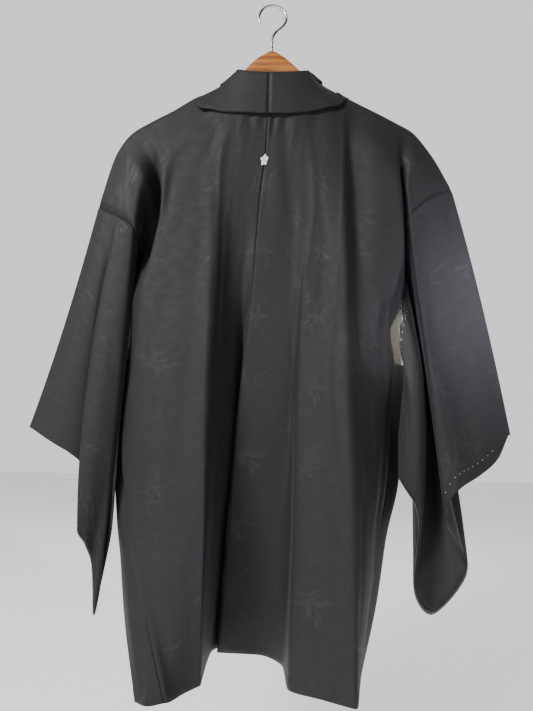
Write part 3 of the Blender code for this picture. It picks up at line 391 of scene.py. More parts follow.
def beyond_edge(table, back, front, gusset_mid):
    def f(v, side):
        near, far = sleeve_rows(table, back, front, np.minimum(v, SLEEVE_SEAM))
        ray = ray_points((near, far)[side], [0.0, 0.05])
        edge = line_at((back, front)[side][-1][1], v)
        out = edge + (ray[:, 1] - ray[:, 0])
        g = line_at(gusset_mid, np.maximum(v, OPENING_END))
        low = v >= OPENING_END
        out[low] = g[low]
        return out
    return f


# ---- soft creases laid on the folds ----------------------------------------
# (s0, v0, s1, v1, half width, height): height above 0 stands out, below 0 sinks.
CREASES = {
    "back_left": [
        (6, 4, 10, 46, 4, -1.6), (22, 4, 30, 52, 5, 1.4), (40, 6, 50, 44, 5, -1.4), (62, 8, 76, 60, 6, 1.2),
        (96, 30, 150, 150, 9, 1.6), (118, 24, 186, 118, 8, -1.8), (150, 14, 214, 84, 7, 1.4),
        (190, 60, 232, 190, 9, -1.8), (176, 150, 206, 330, 10, 1.6), (206, 250, 232, 460, 11, -2.0),
        (180, 360, 200, 600, 10, -1.6), (214, 470, 236, 700, 9, 1.8), (186, 600, 192, 790, 8, 1.4),
        (246, 300, 262, 420, 7, 1.6), (262, 350, 296, 470, 8, -1.8), (240, 560, 262, 720, 8, -1.5),
        (128, 60, 134, 330, 8, 1.2), (144, 330, 150, 620, 9, -1.2), (100, 200, 112, 420, 9, 1.4),
        (196, 700, 236, 716, 9, -1.1), (208, 560, 246, 590, 9, 1.0), (232, 90, 252, 170, 6, 1.6),
    ],
    "back_right": [
        (4, 4, 3, 58, 4, 1.4), (16, 4, 14, 62, 5, -1.6), (32, 4, 30, 48, 5, 1.4), (52, 6, 46, 66, 6, -1.4),
        (78, 10, 62, 96, 7, 1.3), (26, 60, 20, 250, 11, 1.4), (56, 90, 44, 330, 12, -1.6),
        (30, 300, 22, 560, 12, 1.5), (64, 330, 58, 620, 9, -1.2), (14, 520, 12, 760, 9, -1.3),
        (118, 60, 112, 330, 9, 1.4), (150, 120, 144, 420, 8, -1.3), (152, 420, 166, 700, 9, 1.3),
        (184, 240, 180, 520, 7, 1.2), (230, 60, 236, 210, 7, -1.8), (246, 40, 262, 190, 7, 1.6),
        (250, 250, 238, 430, 9, -2.0), (272, 230, 296, 330, 8, 1.6), (240, 420, 258, 640, 8, 1.5),
        (276, 470, 262, 680, 8, -1.5), (302, 500, 290, 700, 7, 1.4), (214, 560, 216, 760, 6, -1.2),
        (140, 660, 190, 690, 10, 1.0), (96, 620, 132, 668, 9, -1.0),
        (205, 150, 207, 690, 4, 1.3), (214, 150, 217, 690, 5, -1.9),
    ],
    "front_left": [
        (206, 60, 214, 300, 8, 1.4), (228, 80, 224, 330, 9, -1.6), (240, 300, 228, 560, 9, 1.5),
        (214, 360, 218, 640, 9, -1.5), (262, 180, 246, 420, 9, 1.6), (286, 330, 268, 560, 8, -1.6),
        (236, 600, 246, 780, 8, 1.3), (204, 560, 206, 780, 8, 1.2), (276, 600, 290, 760, 7, 1.2),
    ],
    "front_right": [
        (212, 40, 214, 260, 8, -1.4), (236, 80, 232, 330, 9, 1.6), (254, 260, 240, 520, 9, -1.5),
        (216, 330, 222, 600, 9, 1.5), (276, 160, 262, 400, 9, 1.6), (300, 320, 286, 560, 8, -1.6),
        (236, 560, 246, 770, 8, 1.2), (208, 600, 210, 790, 8, -1.2), (282, 600, 300, 760, 7, 1.2),
    ],
    # sleeves: (t0, v0, t1, v1, ...) with t in mm along the ray, taken as 0 to 400
    "near_left": [
        (10, 30, 120, 44, 4, 1.3), (60, 58, 200, 66, 4, -1.2), (150, 84, 330, 92, 6, 1.2),
        (120, 20, 330, 24, 3, 1.0), (220, 48, 380, 52, 4, -1.0), (40, 130, 220, 150, 8, 1.0),
    ],
    "near_right": [
        (10, 26, 150, 34, 6, 1.6), (40, 52, 250, 58, 6, -1.6), (180, 28, 380, 32, 6, 1.2),
        (20, 96, 180, 106, 6, 1.4), (100, 124, 330, 140, 8, -1.6), (230, 96, 390, 110, 7, 1.3),
        (140, 176, 340, 186, 8, 1.2), (10, 12, 90, 16, 4, -1.2), (260, 60, 392, 66, 6, 1.2),
    ],
    "far_left": [
        (20, 30, 160, 40, 5, 1.3), (60, 70, 260, 80, 6, -1.3), (160, 120, 340, 130, 8, 1.2),
    ],
    "far_right": [
        (20, 30, 160, 38, 6, 1.4), (60, 66, 260, 76, 7, -1.5), (120, 110, 330, 124, 9, 1.6),
        (200, 50, 380, 56, 6, 1.2), (100, 170, 330, 182, 9, -1.4),
    ],
}


def noise(s, v, seed):
    """Slow unevenness, the same every run: a few crossed waves."""
    rng = np.random.default_rng(seed)
    out = np.zeros_like(s)
    for wave, amp in ((150, 0.7), (90, 0.5), (52, 0.3), (31, 0.16), (19, 0.08)):
        for _ in range(3):
            a = rng.uniform(0, 2 * math.pi)
            k = 2 * math.pi / (wave * rng.uniform(0.8, 1.25))
            # the cloth hangs, so the waves run mostly down it
            out += amp / 3 * np.sin(k * (s * math.cos(a) + 0.45 * v * math.sin(a)) + rng.uniform(0, 6.28))
    return out


def creases(s, v, table):
    out = np.zeros_like(s)
    for s0, v0, s1, v1, width, height in table:
        d = np.array([s1 - s0, v1 - v0], float)
        length = np.hypot(*d)
        d /= length
        t = (s - s0) * d[0] + (v - v0) * d[1]
        bend = 0.05 * length * np.sin(math.pi * np.clip(t / length, 0, 1)) * (1 if (int(s0) + int(v0)) % 2 else -1)
        across = -(s - s0) * d[1] + (v - v0) * d[0] - bend
        along = np.clip(t / length, 0, 1)
        fade = np.sin(math.pi * np.clip(along, 0.0, 1.0)) ** 0.7
        fade = np.where((t < 0) | (t > length), 0, fade)
        out += 0.75 * height * fade * np.exp(-(across / (1.25 * width)) ** 2)
    return out


def normals(g, facing):
    du = np.gradient(g, axis=1)
    dv = np.gradient(g, axis=0)
    n = unit(np.cross(du, dv))
    return n if (n[..., 1].mean() * facing) > 0 else -n


def pinch(d, depth=1.0, width=5.0):
    """A seam draws the cloth in along its edge. d is the distance to it, in mm."""
    return -depth * np.clip(1 - d / width, 0, 1) ** 2


def pucker(d, along, amp=0.35, pitch=13.0, reach=14.0, phase=0.0):
    wob = np.sin(2 * math.pi * along / pitch + 1.7 * np.sin(along / 31.0 + phase) + phase)
    return amp * wob * np.exp(-d / reach)


# ---- materials --------------------------------------------------------------
def new_material(name):
    m = bpy.data.materials.new(name)
    m.use_nodes = True
    nt = m.node_tree
    bsdf = next(n for n in nt.nodes if n.type == "BSDF_PRINCIPLED")
    return m, nt, bsdf


def node(nt, kind, **kw):
    n = nt.nodes.new(kind)
    for k, val in kw.items():
        if k == "inputs":
            for i, x in val.items():
                n.inputs[i].default_value = x
        else:
            setattr(n, k, val)
    return n


def math_node(nt, op, a, b=None, c=None, clamp=False):
    n = node(nt, "ShaderNodeMath", operation=op)
    n.use_clamp = clamp
    for i, x in enumerate((a, b, c)):
        if x is None:
            continue
        if isinstance(x, (int, float)):
            n.inputs[i].default_value = x
        else:
            nt.links.new(x, n.inputs[i])
    return n.outputs[0]


def map_range(nt, x, a, b, c, d, smoothstep=True):
    n = node(nt, "ShaderNodeMapRange")
    n.interpolation_type = "SMOOTHSTEP" if smoothstep else "LINEAR"
    nt.links.new(x, n.inputs[0])
    for i, q in zip((1, 2, 3, 4), (a, b, c, d)):
        n.inputs[i].default_value = q
    return n.outputs[0]


def mix_colour(nt, fac, a, b):
    n = node(nt, "ShaderNodeMix", data_type="RGBA")
    if isinstance(fac, (int, float)):
        n.inputs[0].default_value = fac
    else:
        nt.links.new(fac, n.inputs[0])
    for i, q in ((6, a), (7, b)):
        if isinstance(q, tuple):
            n.inputs[i].default_value = q
        else:
            nt.links.new(q, n.inputs[i])
    return n.outputs[2]


def uv_mm(nt):
    """Cloth coordinates in millimetres: x across, y down the cloth."""
    uv = node(nt, "ShaderNodeUVMap", uv_map="cloth")
    sc = node(nt, "ShaderNodeVectorMath", operation="SCALE")
    sc.inputs["Scale"].default_value = 1000.0
    nt.links.new(uv.outputs[0], sc.inputs[0])
    return sc.outputs[0]


# leaves and petals of one drifting spray: (x, y, turn in degrees, half length, half width), mm
SPRAY = [
    (0, 0, 20, 8.0, 3.6), (5, 8, 75, 8.0, 3.4), (-6, 7, -40, 7.0, 3.0), (9, -4, 5, 7.0, 2.6),
    (-8, -5, 35, 7.5, 2.8), (1, -13, 80, 8.5, 2.4), (-3, 17, 105, 8.0, 2.2), (12, 15, 50, 6.0, 2.2),
    (-14, -14, 60, 7.0, 2.0), (4, -25, 95, 6.5, 1.8), (-11, 22, 130, 6.0, 1.9),
]
CURL = [(0, 0, 90, 17, 1.1), (7, 13, 35, 9, 1.3), (-7, 12, 145, 9, 1.3), (6, -6, 150, 7, 2.2), (-6, -9, 30, 7, 2.2),
        (0, -18, 90, 5, 3.2), (10, 3, 170, 5, 1.8)]


def spray_mask(nt, coords, leaves, cell, offset, stagger):
    """A repeat of the spray, one to a cell, every second column dropped by half."""
    add = node(nt, "ShaderNodeVectorMath", operation="ADD")
    add.inputs[1].default_value = (offset[0], offset[1], 0)
    nt.links.new(coords, add.inputs[0])
    sep = node(nt, "ShaderNodeSeparateXYZ")
    nt.links.new(add.outputs[0], sep.inputs[0])
    col = math_node(nt, "FLOOR", math_node(nt, "DIVIDE", sep.outputs[0], cell[0]))
    odd = math_node(nt, "MULTIPLY", math_node(nt, "PINGPONG", col, 1.0), cell[1] * stagger)
    y = math_node(nt, "ADD", sep.outputs[1], odd)
    row = math_node(nt, "FLOOR", math_node(nt, "DIVIDE", y, cell[1]))
    lx = math_node(nt, "SUBTRACT", math_node(nt, "SUBTRACT", sep.outputs[0], math_node(nt, "MULTIPLY", col, cell[0])), cell[0] / 2)
    ly = math_node(nt, "SUBTRACT", math_node(nt, "SUBTRACT", y, math_node(nt, "MULTIPLY", row, cell[1])), cell[1] / 2)
    comb = node(nt, "ShaderNodeCombineXYZ")
    nt.links.new(lx, comb.inputs[0])
    nt.links.new(ly, comb.inputs[1])
    # each cell turns its spray a little its own way
    ang = math_node(nt, "MULTIPLY", math_node(nt, "SINE", math_node(nt, "ADD", math_node(nt, "MULTIPLY", col, 2.4), math_node(nt, "MULTIPLY", row, 4.1))), 0.9)
    rot = node(nt, "ShaderNodeVectorRotate", rotation_type="Z_AXIS")
    nt.links.new(comb.outputs[0], rot.inputs["Vector"])
    nt.links.new(ang, rot.inputs["Angle"])
    out = None
    for x, yy, turn, la, lb in leaves:
        mp = node(nt, "ShaderNodeMapping", vector_type="TEXTURE")
        mp.inputs["Location"].default_value = (x, yy, 0)
        mp.inputs["Rotation"].default_value = (0, 0, math.radians(turn))
        mp.inputs["Scale"].default_value = (la, lb, 1)
        nt.links.new(rot.outputs[0], mp.inputs[0])
        ln = node(nt, "ShaderNodeVectorMath", operation="LENGTH")
        nt.links.new(mp.outputs[0], ln.inputs[0])
        q = map_range(nt, ln.outputs["Value"], 0.82, 1.08, 1.0, 0.0)
        out = q if out is None else math_node(nt, "MAXIMUM", out, q)
    return out


def silk(name, inner=False):
    m, nt, bsdf = new_material(name)
    c = uv_mm(nt)
    a = spray_mask(nt, c, SPRAY, (74.0, 96.0), (30.0, 10.0), 0.5)
    b = spray_mask(nt, c, CURL, (88.0, 118.0), (-18.0, 52.0), 0.45)
    motif = math_node(nt, "MAXIMUM", a, b)
    # the sprays fade in and out as the weave catches the light
    n1 = node(nt, "ShaderNodeTexNoise", noise_dimensions="3D", inputs={"Scale": 0.012, "Detail": 2.0, "Roughness": 0.5})
    nt.links.new(c, n1.inputs["Vector"])
    fade = map_range(nt, n1.outputs[0], 0.38, 0.62, 0.1, 1.0)
    motif = math_node(nt, "MULTIPLY", motif, fade)
    # twill ground: fine slanted ribs
    sep = node(nt, "ShaderNodeSeparateXYZ")
    nt.links.new(c, sep.inputs[0])
    rib = math_node(nt, "ADD", math_node(nt, "MULTIPLY", sep.outputs[0], 5.2), math_node(nt, "MULTIPLY", sep.outputs[1], 2.1))
    rib = math_node(nt, "SINE", rib)
    thread = math_node(nt, "SINE", math_node(nt, "MULTIPLY", sep.outputs[1], 7.9))
    weave = math_node(nt, "ADD", math_node(nt, "MULTIPLY", rib, 0.6), math_node(nt, "MULTIPLY", thread, 0.3))
    n2 = node(nt, "ShaderNodeTexNoise", noise_dimensions="3D", inputs={"Scale": 0.09, "Detail": 4.0, "Roughness": 0.6})
    nt.links.new(c, n2.inputs["Vector"])
    # slubs: threads a little thicker, running across
    mp = node(nt, "ShaderNodeMapping", inputs={"Scale": (0.03, 1.3, 1.0)})
    nt.links.new(c, mp.inputs[0])
    n3 = node(nt, "ShaderNodeTexNoise", noise_dimensions="3D", inputs={"Scale": 1.0, "Detail": 2.0})
    nt.links.new(mp.outputs[0], n3.inputs["Vector"])
    dark = (0.0178, 0.0170, 0.0200, 1)
    light = (0.0238, 0.0227, 0.0264, 1)
    col = mix_colour(nt, motif, dark, light)
    shade = map_range(nt, n2.outputs[0], 0.3, 0.7, 0.0, 0.2)
    col = mix_colour(nt, shade, col, (0.0140, 0.0130, 0.0165, 1))
    nt.links.new(col, bsdf.inputs["Base Color"])
    rough = math_node(nt, "ADD", map_range(nt, motif, 0.0, 1.0, 0.66, 0.58, False), map_range(nt, n2.outputs[0], 0.3, 0.7, -0.03, 0.05))
    nt.links.new(rough, bsdf.inputs["Roughness"])
    bsdf.inputs["Specular IOR Level"].default_value = 0.32
    bsdf.inputs["Sheen Weight"].default_value = 0.12
    bsdf.inputs["Sheen Roughness"].default_value = 0.4
    bsdf.inputs["Sheen Tint"].default_value = (0.60, 0.60, 0.68, 1)
    h = math_node(nt, "ADD", math_node(nt, "MULTIPLY", weave, 0.00002), math_node(nt, "MULTIPLY", motif, 0.00010))
    h = math_node(nt, "ADD", h, math_node(nt, "MULTIPLY", n3.outputs[0], 0.00007))
    h = math_node(nt, "ADD", h, math_node(nt, "MULTIPLY", n2.outputs[0], 0.00007))
    bump = node(nt, "ShaderNodeBump")
    bump.inputs["Strength"].default_value = 0.9
    bump.inputs["Distance"].default_value = 1.0
    nt.links.new(h, bump.inputs["Height"])
    nt.links.new(bump.outputs[0], bsdf.inputs["Normal"])
    return m


def lining(name, dark_from=None, sides=()):
    """Plain cream silk; below dark_from and in each strip of sides (mm) it is the black facing."""
    m, nt, bsdf = new_material(name)
    c = uv_mm(nt)
    n1 = node(nt, "ShaderNodeTexNoise", noise_dimensions="3D", inputs={"Scale": 0.02, "Detail": 3.0})
    nt.links.new(c, n1.inputs["Vector"])
    sep = node(nt, "ShaderNodeSeparateXYZ")
    nt.links.new(c, sep.inputs[0])
    w1 = math_node(nt, "SINE", math_node(nt, "MULTIPLY", sep.outputs[0], 6.3))
    w2 = math_node(nt, "SINE", math_node(nt, "MULTIPLY", sep.outputs[1], 6.9))
    weave = math_node(nt, "MULTIPLY", w1, w2)
    tone = mix_colour(nt, map_range(nt, n1.outputs[0], 0.3, 0.7, 0.0, 1.0), (0.88, 0.84, 0.74, 1), (0.93, 0.90, 0.82, 1))
    if dark_from is not None:
        low = map_range(nt, sep.outputs[1], dark_from - 0.6, dark_from + 0.6, 0.0, 1.0, False)
        for a, b in sides:
            strip = math_node(nt, "MULTIPLY", map_range(nt, sep.outputs[0], a - 0.5, a + 0.5, 0.0, 1.0, False),
                              map_range(nt, sep.outputs[0], b - 0.5, b + 0.5, 1.0, 0.0, False))
            low = math_node(nt, "MAXIMUM", low, strip)
        tone = mix_colour(nt, low, tone, (0.018, 0.017, 0.021, 1))
    nt.links.new(tone, bsdf.inputs["Base Color"])
    bsdf.inputs["Roughness"].default_value = 0.5
    bsdf.inputs["Sheen Weight"].default_value = 0.15
    h = math_node(nt, "ADD", math_node(nt, "MULTIPLY", weave, 0.00003), math_node(nt, "MULTIPLY", n1.outputs[0], 0.0004))
    bump = node(nt, "ShaderNodeBump")
    bump.inputs["Distance"].default_value = 1.0
    bump.inputs["Strength"].default_value = 0.7
    nt.links.new(h, bump.inputs["Height"])
    nt.links.new(bump.outputs[0], bsdf.inputs["Normal"])
    return m


def thread_material(name, colour):
    m, nt, bsdf = new_material(name)
    tc = node(nt, "ShaderNodeTexCoord")
    wv = node(nt, "ShaderNodeTexWave", inputs={"Scale": 700.0, "Distortion": 1.5, "Detail": 1.0})
    wv.bands_direction = "DIAGONAL"
    nt.links.new(tc.outputs["Object"], wv.inputs["Vector"])
    ns = node(nt, "ShaderNodeTexNoise", inputs={"Scale": 900.0, "Detail": 2.0})
    nt.links.new(tc.outputs["Object"], ns.inputs["Vector"])
    col = mix_colour(nt, ns.outputs[0], tuple(0.82 * q for q in colour[:3]) + (1,), colour)
    nt.links.new(col, bsdf.inputs["Base Color"])
    bsdf.inputs["Roughness"].default_value = 0.6
    bsdf.inputs["Sheen Weight"].default_value = 0.3
    bump = node(nt, "ShaderNodeBump")
    bump.inputs["Strength"].default_value = 0.5
    bump.inputs["Distance"].default_value = 0.0003
    nt.links.new(wv.outputs[1], bump.inputs["Height"])
    nt.links.new(bump.outputs[0], bsdf.inputs["Normal"])
    return m


def wood_material(name):
    m, nt, bsdf = new_material(name)
    tc = node(nt, "ShaderNodeTexCoord")
    # long growth rings cut flat, with tall pointed figures
    mp = node(nt, "ShaderNodeMapping", inputs={"Scale": (3.0, 14.0, 26.0), "Rotation": (0.05, 0.10, 0.03)})
    nt.links.new(tc.outputs["Object"], mp.inputs[0])
    ns = node(nt, "ShaderNodeTexNoise", inputs={"Scale": 2.0, "Detail": 5.0, "Roughness": 0.55, "Distortion": 0.6})
    nt.links.new(mp.outputs[0], ns.inputs["Vector"])
    wv = node(nt, "ShaderNodeTexWave", inputs={"Scale": 1.1, "Distortion": 7.0, "Detail": 3.0, "Detail Scale": 1.2})
    wv.bands_direction = "Z"
    nt.links.new(mp.outputs[0], wv.inputs["Vector"])
    mp2 = node(nt, "ShaderNodeMapping", inputs={"Scale": (40.0, 500.0, 500.0)})
    nt.links.new(tc.outputs["Object"], mp2.inputs[0])
    pores = node(nt, "ShaderNodeTexNoise", inputs={"Scale": 1.0, "Detail": 3.0})
    nt.links.new(mp2.outputs[0], pores.inputs["Vector"])
    ring = map_range(nt, wv.outputs[1], 0.2, 0.85, 0.0, 1.0)
    col = mix_colour(nt, ring, (0.46, 0.17, 0.042, 1), (0.25, 0.075, 0.017, 1))
    col = mix_colour(nt, map_range(nt, ns.outputs[0], 0.35, 0.7, 0.0, 0.5), col, (0.58, 0.26, 0.075, 1))
    col = mix_colour(nt, map_range(nt, pores.outputs[0], 0.58, 0.75, 0.0, 0.45), col, (0.20, 0.07, 0.02, 1))
    nt.links.new(col, bsdf.inputs["Base Color"])
    nt.links.new(map_range(nt, ring, 0, 1, 0.34, 0.46, False), bsdf.inputs["Roughness"])
    bsdf.inputs["Coat Weight"].default_value = 0.35
    bsdf.inputs["Coat Roughness"].default_value = 0.18
    bump = node(nt, "ShaderNodeBump")
    bump.inputs["Strength"].default_value = 0.35
    bump.inputs["Distance"].default_value = 0.0004
    nt.links.new(pores.outputs[0], bump.inputs["Height"])
    nt.links.new(bump.outputs[0], bsdf.inputs["Normal"])
    return m


def steel_material(name):
    m, nt, bsdf = new_material(name)
    tc = node(nt, "ShaderNodeTexCoord")
    ns = node(nt, "ShaderNodeTexNoise", inputs={"Scale": 260.0, "Detail": 4.0})
    nt.links.new(tc.outputs["Object"], ns.inputs["Vector"])
    col = mix_colour(nt, map_range(nt, ns.outputs[0], 0.4, 0.7, 0.0, 0.6), (0.72, 0.72, 0.70, 1), (0.52, 0.51, 0.50, 1))
    nt.links.new(col, bsdf.inputs["Base Color"])
    nt.links.new(map_range(nt, ns.outputs[0], 0.3, 0.7, 0.20, 0.34), bsdf.inputs["Roughness"])
    bsdf.inputs["Metallic"].default_value = 1.0
    return m


SILK = silk("figured_black_silk")
BODY_LINING = lining("body_lining", 430.0, ((282.0, 350.0), (680.0, 800.0)))
SLEEVE_LINING = lining("sleeve_lining", 70.0)
CREAM = lining("opening_lining")
CREST = thread_material("white_thread", (0.86, 0.86, 0.84, 1))
WOOD_M = wood_material("varnished_wood")
STEEL = steel_material("plain_wire")


# ---- meshes -----------------------------------------------------------------
def piece(name, verts, faces, uvs, mats, replaces, thick=None, subsurf=0):
    me = bpy.data.meshes.new(name)
    me.from_pydata([tuple(float(q) * MM for q in p) for p in verts], [], faces)
    for m in mats:
        me.materials.append(m)
    if uvs is not None:
        layer = me.uv_layers.new(name="cloth")
        idx = np.empty(len(me.loops), dtype=np.int32)
        me.loops.foreach_get("vertex_index", idx)
        layer.data.foreach_set("uv", (np.asarray(uvs, float)[idx] * MM).astype(np.float32).ravel())
    for p in me.polygons:
        p.use_smooth = True
    ob = bpy.data.objects.new(name, me)
    bpy.context.scene.collection.objects.link(ob)
    if thick:
        sol = ob.modifiers.new("wall", "SOLIDIFY")
        sol.thickness = thick * MM
        sol.offset = 0.0
        if len(mats) > 1:
            sol.material_offset = 1
            sol.material_offset_rim = 0
    if subsurf:
        ss = ob.modifiers.new("round", "SUBSURF")
        ss.levels = ss.render_levels = subsurf
    if thick or subsurf:
        deps = bpy.context.evaluated_depsgraph_get()
        done = bpy.data.meshes.new_from_object(ob.evaluated_get(deps))
        ob.modifiers.clear()
        ob.data = done
        done.name = name
    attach(ob, "root")
    if replaces:
        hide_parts(*replaces)
    return ob


def outward(verts, faces, facing_fn):
    """Turn all faces over if they look inward on average."""
    P = np.asarray(verts, float)
    tot = 0.0
    for f in faces[:: max(1, len(faces) // 900)]:
        a, b, c = P[f[0]], P[f[1]], P[f[2]]
        tot += float(np.dot(np.cross(b - a, c - a), facing_fn((a + b + c) / 3)))
    return faces if tot > 0 else [tuple(reversed(f)) for f in faces]


def dense(knots, step):
    out = [float(knots[0])]
    for a, b in zip(knots[:-1], knots[1:]):
        n = max(1, int(round((b - a) / step)))
        out += [a + (b - a) * k / n for k in range(1, n + 1)]
    return np.array(out)


def body(name, side, back, front, width, neck_s, across, sleeve_dir):
    cols = sorted(set([float(a) for a, _ in back] + [float(neck_s)]))
    s = dense(cols, 3.2)
    v = dense([0, 40, 120, 230, 345, 500, 650, 790, 810], 5.0)
    gb = panel(back, s, v)
    other = panel(across, np.array([0.0, 12.0]), v)[:, 1]
    own = panel(back, np.array([12.0]), v)[:, 0]
    gb[:, 0] += 0.04 * unit(own - gb[:, 0])
    j0 = int(np.argmin(abs(s - neck_s)))
    sf = s[j0:]
    gf = panel(front, sf, v)
    if side == "left":
        gf[..., 0] -= 5.0 * np.exp(-((v - 338.0) / 22.0) ** 2)[:, None] * np.clip((sf - width + 26.0) / 26.0, 0, 1)[None]
    for g, k in ((gb, 0), (gf, 1)):
        inner = (g[:, -1] + 0.25 * (g[:, -2] - g[:, -1]))
        g[:, -1] = trimmed(g[:, -1], inner, sleeve_dir(v, k))
    for g, ss, facing, key, seed in ((gb, s, -1, "back_", 11), (gf, sf, 1, "front_", 23)):
        S, V = np.meshgrid(ss, v)
        n = normals(g, facing)
        d = creases(S, V, CREASES[key + side]) + noise(S, V, seed + (side == "right"))
        top = np.clip(V / 26.0, 0, 1)
        d *= top
        edge = ss[-1] - S
        seamed = (V < SLEEVE_SEAM) | (V > OPENING_END)
        d *= np.clip(edge / 10.0, 0.0, 1.0)
        d += np.where(seamed, pinch(edge, 0.5, 2.6), 0)
        d += np.where(seamed & (edge > 0.5), pucker(edge, V, 0.22, 15.0, 8.0, 0.4), 0) * np.clip(edge / 3.0, 0, 1)
        if facing < 0:
            d += pinch(S, 0.5, 2.6) + pucker(S, V, 0.18, 17.0, 8.0, 1.1) * np.clip(S / 3.0, 0, 1)
        # the turned-up hem is a little stiffer and thicker
        hem = 810 - V
        d += 0.35 * np.exp(-((hem - 9.0) / 3.0) ** 2) - 0.3 * np.exp(-((hem - 15.0) / 2.5) ** 2)
        g += n * d[..., None]
    rolls = roll(gb[0, j0:], gf[0], 5)
    verts, uvs, faces = [], [], []
    for i in range(len(v) - 1, -1, -1):
        verts += list(gb[i])
        uvs += [(q, v[i]) for q in s]
    faces += grid_faces(len(v), len(s), 0)
    top = (len(v) - 1) * len(s)
    prev = [top + j for j in range(j0, len(s))]
    nf = len(sf)
    for k, row in enumerate(list(rolls) + list(gf)):
        start = len(verts)
        verts += list(row)
        vv = 0.0 if k < len(rolls) else v[k - len(rolls)]
        uvs += [(q + 400.0, vv) for q in sf]
        cur = list(range(start, start + nf))
        for j in range(nf - 1):
            faces.append((prev[j], prev[j + 1], cur[j + 1], cur[j]))
        prev = cur
    faces = outward(verts, faces, lambda p: np.array([0, p[1] - 5.0, 0]))
    return piece("cloth_" + name, verts, faces, uvs, [SILK, BODY_LINING], [name], CLOTH)


SPECS = [
    ("left", BACK_LEFT, FRONT_LEFT, 314, 186, BACK_RIGHT, GUSSET_LEFT_MID, SLEEVE_LEFT),
    ("right", BACK_RIGHT, FRONT_RIGHT, 326, 190, BACK_LEFT, GUSSET_RIGHT_MID, SLEEVE_RIGHT),
]
for side, back, front, width, neck, across, mid, table in SPECS:
    body("body_" + side, side, back, front, width, neck, across, beyond_edge(table, back, front, mid))
    # gusset
    v = dense([345, 500, 650, 810], 6.0)
    e = line_at(back[-1][1], v)
    m = line_at(mid, v)
    if side == "right":
        m[:, 0] += 5.0 * np.exp(-((v - 350.0) / 26.0) ** 2)
    else:
        m[:, 0] -= 3.5 * np.exp(-((v - 495.0) / 52.0) ** 2)
    f = line_at(front[-1][1], v)
    pb = panel(back, np.array([back[-1][0] - 6.0]), v)[:, 0]
    pf = panel(front, np.array([front[-1][0] - 6.0]), v)[:, 0]
    e2, f2 = trimmed(e, m, pb), trimmed(f, m, pf)
    net = np.stack([e2, m, f2], 1)
    u = np.linspace(0, 2, 21)
    g = smooth([0, 1, 2], net.transpose(1, 0, 2).reshape(3, -1), u).reshape(len(u), len(v), 3).transpose(1, 0, 2)
    U, V = np.meshgrid(u, v)
    du, dv = np.gradient(g, axis=1), np.gradient(g, axis=0)
    n = unit(np.cross(du, dv))
    sx = -1 if side == "left" else 1
    if n[..., 0].mean() * sx < 0:
        n = -n
    edge = np.minimum(U, 2 - U) * 32
    g = g + n * (pinch(edge, 0.5, 2.6) + pucker(edge, V, 0.2, 16, 8, 2.0) * np.clip(edge / 3, 0, 1))[..., None]
    faces = outward(list(g.reshape(-1, 3)), grid_faces(len(v), len(u), 0), lambda p: np.array([sx, 0, 0]))
    uv = [(700 + q * 32, w) for w in v for q in u]
    piece("cloth_gusset_" + side, list(g.reshape(-1, 3)), faces, uv, [SILK, BODY_LINING], ["gusset_" + side], CLOTH)


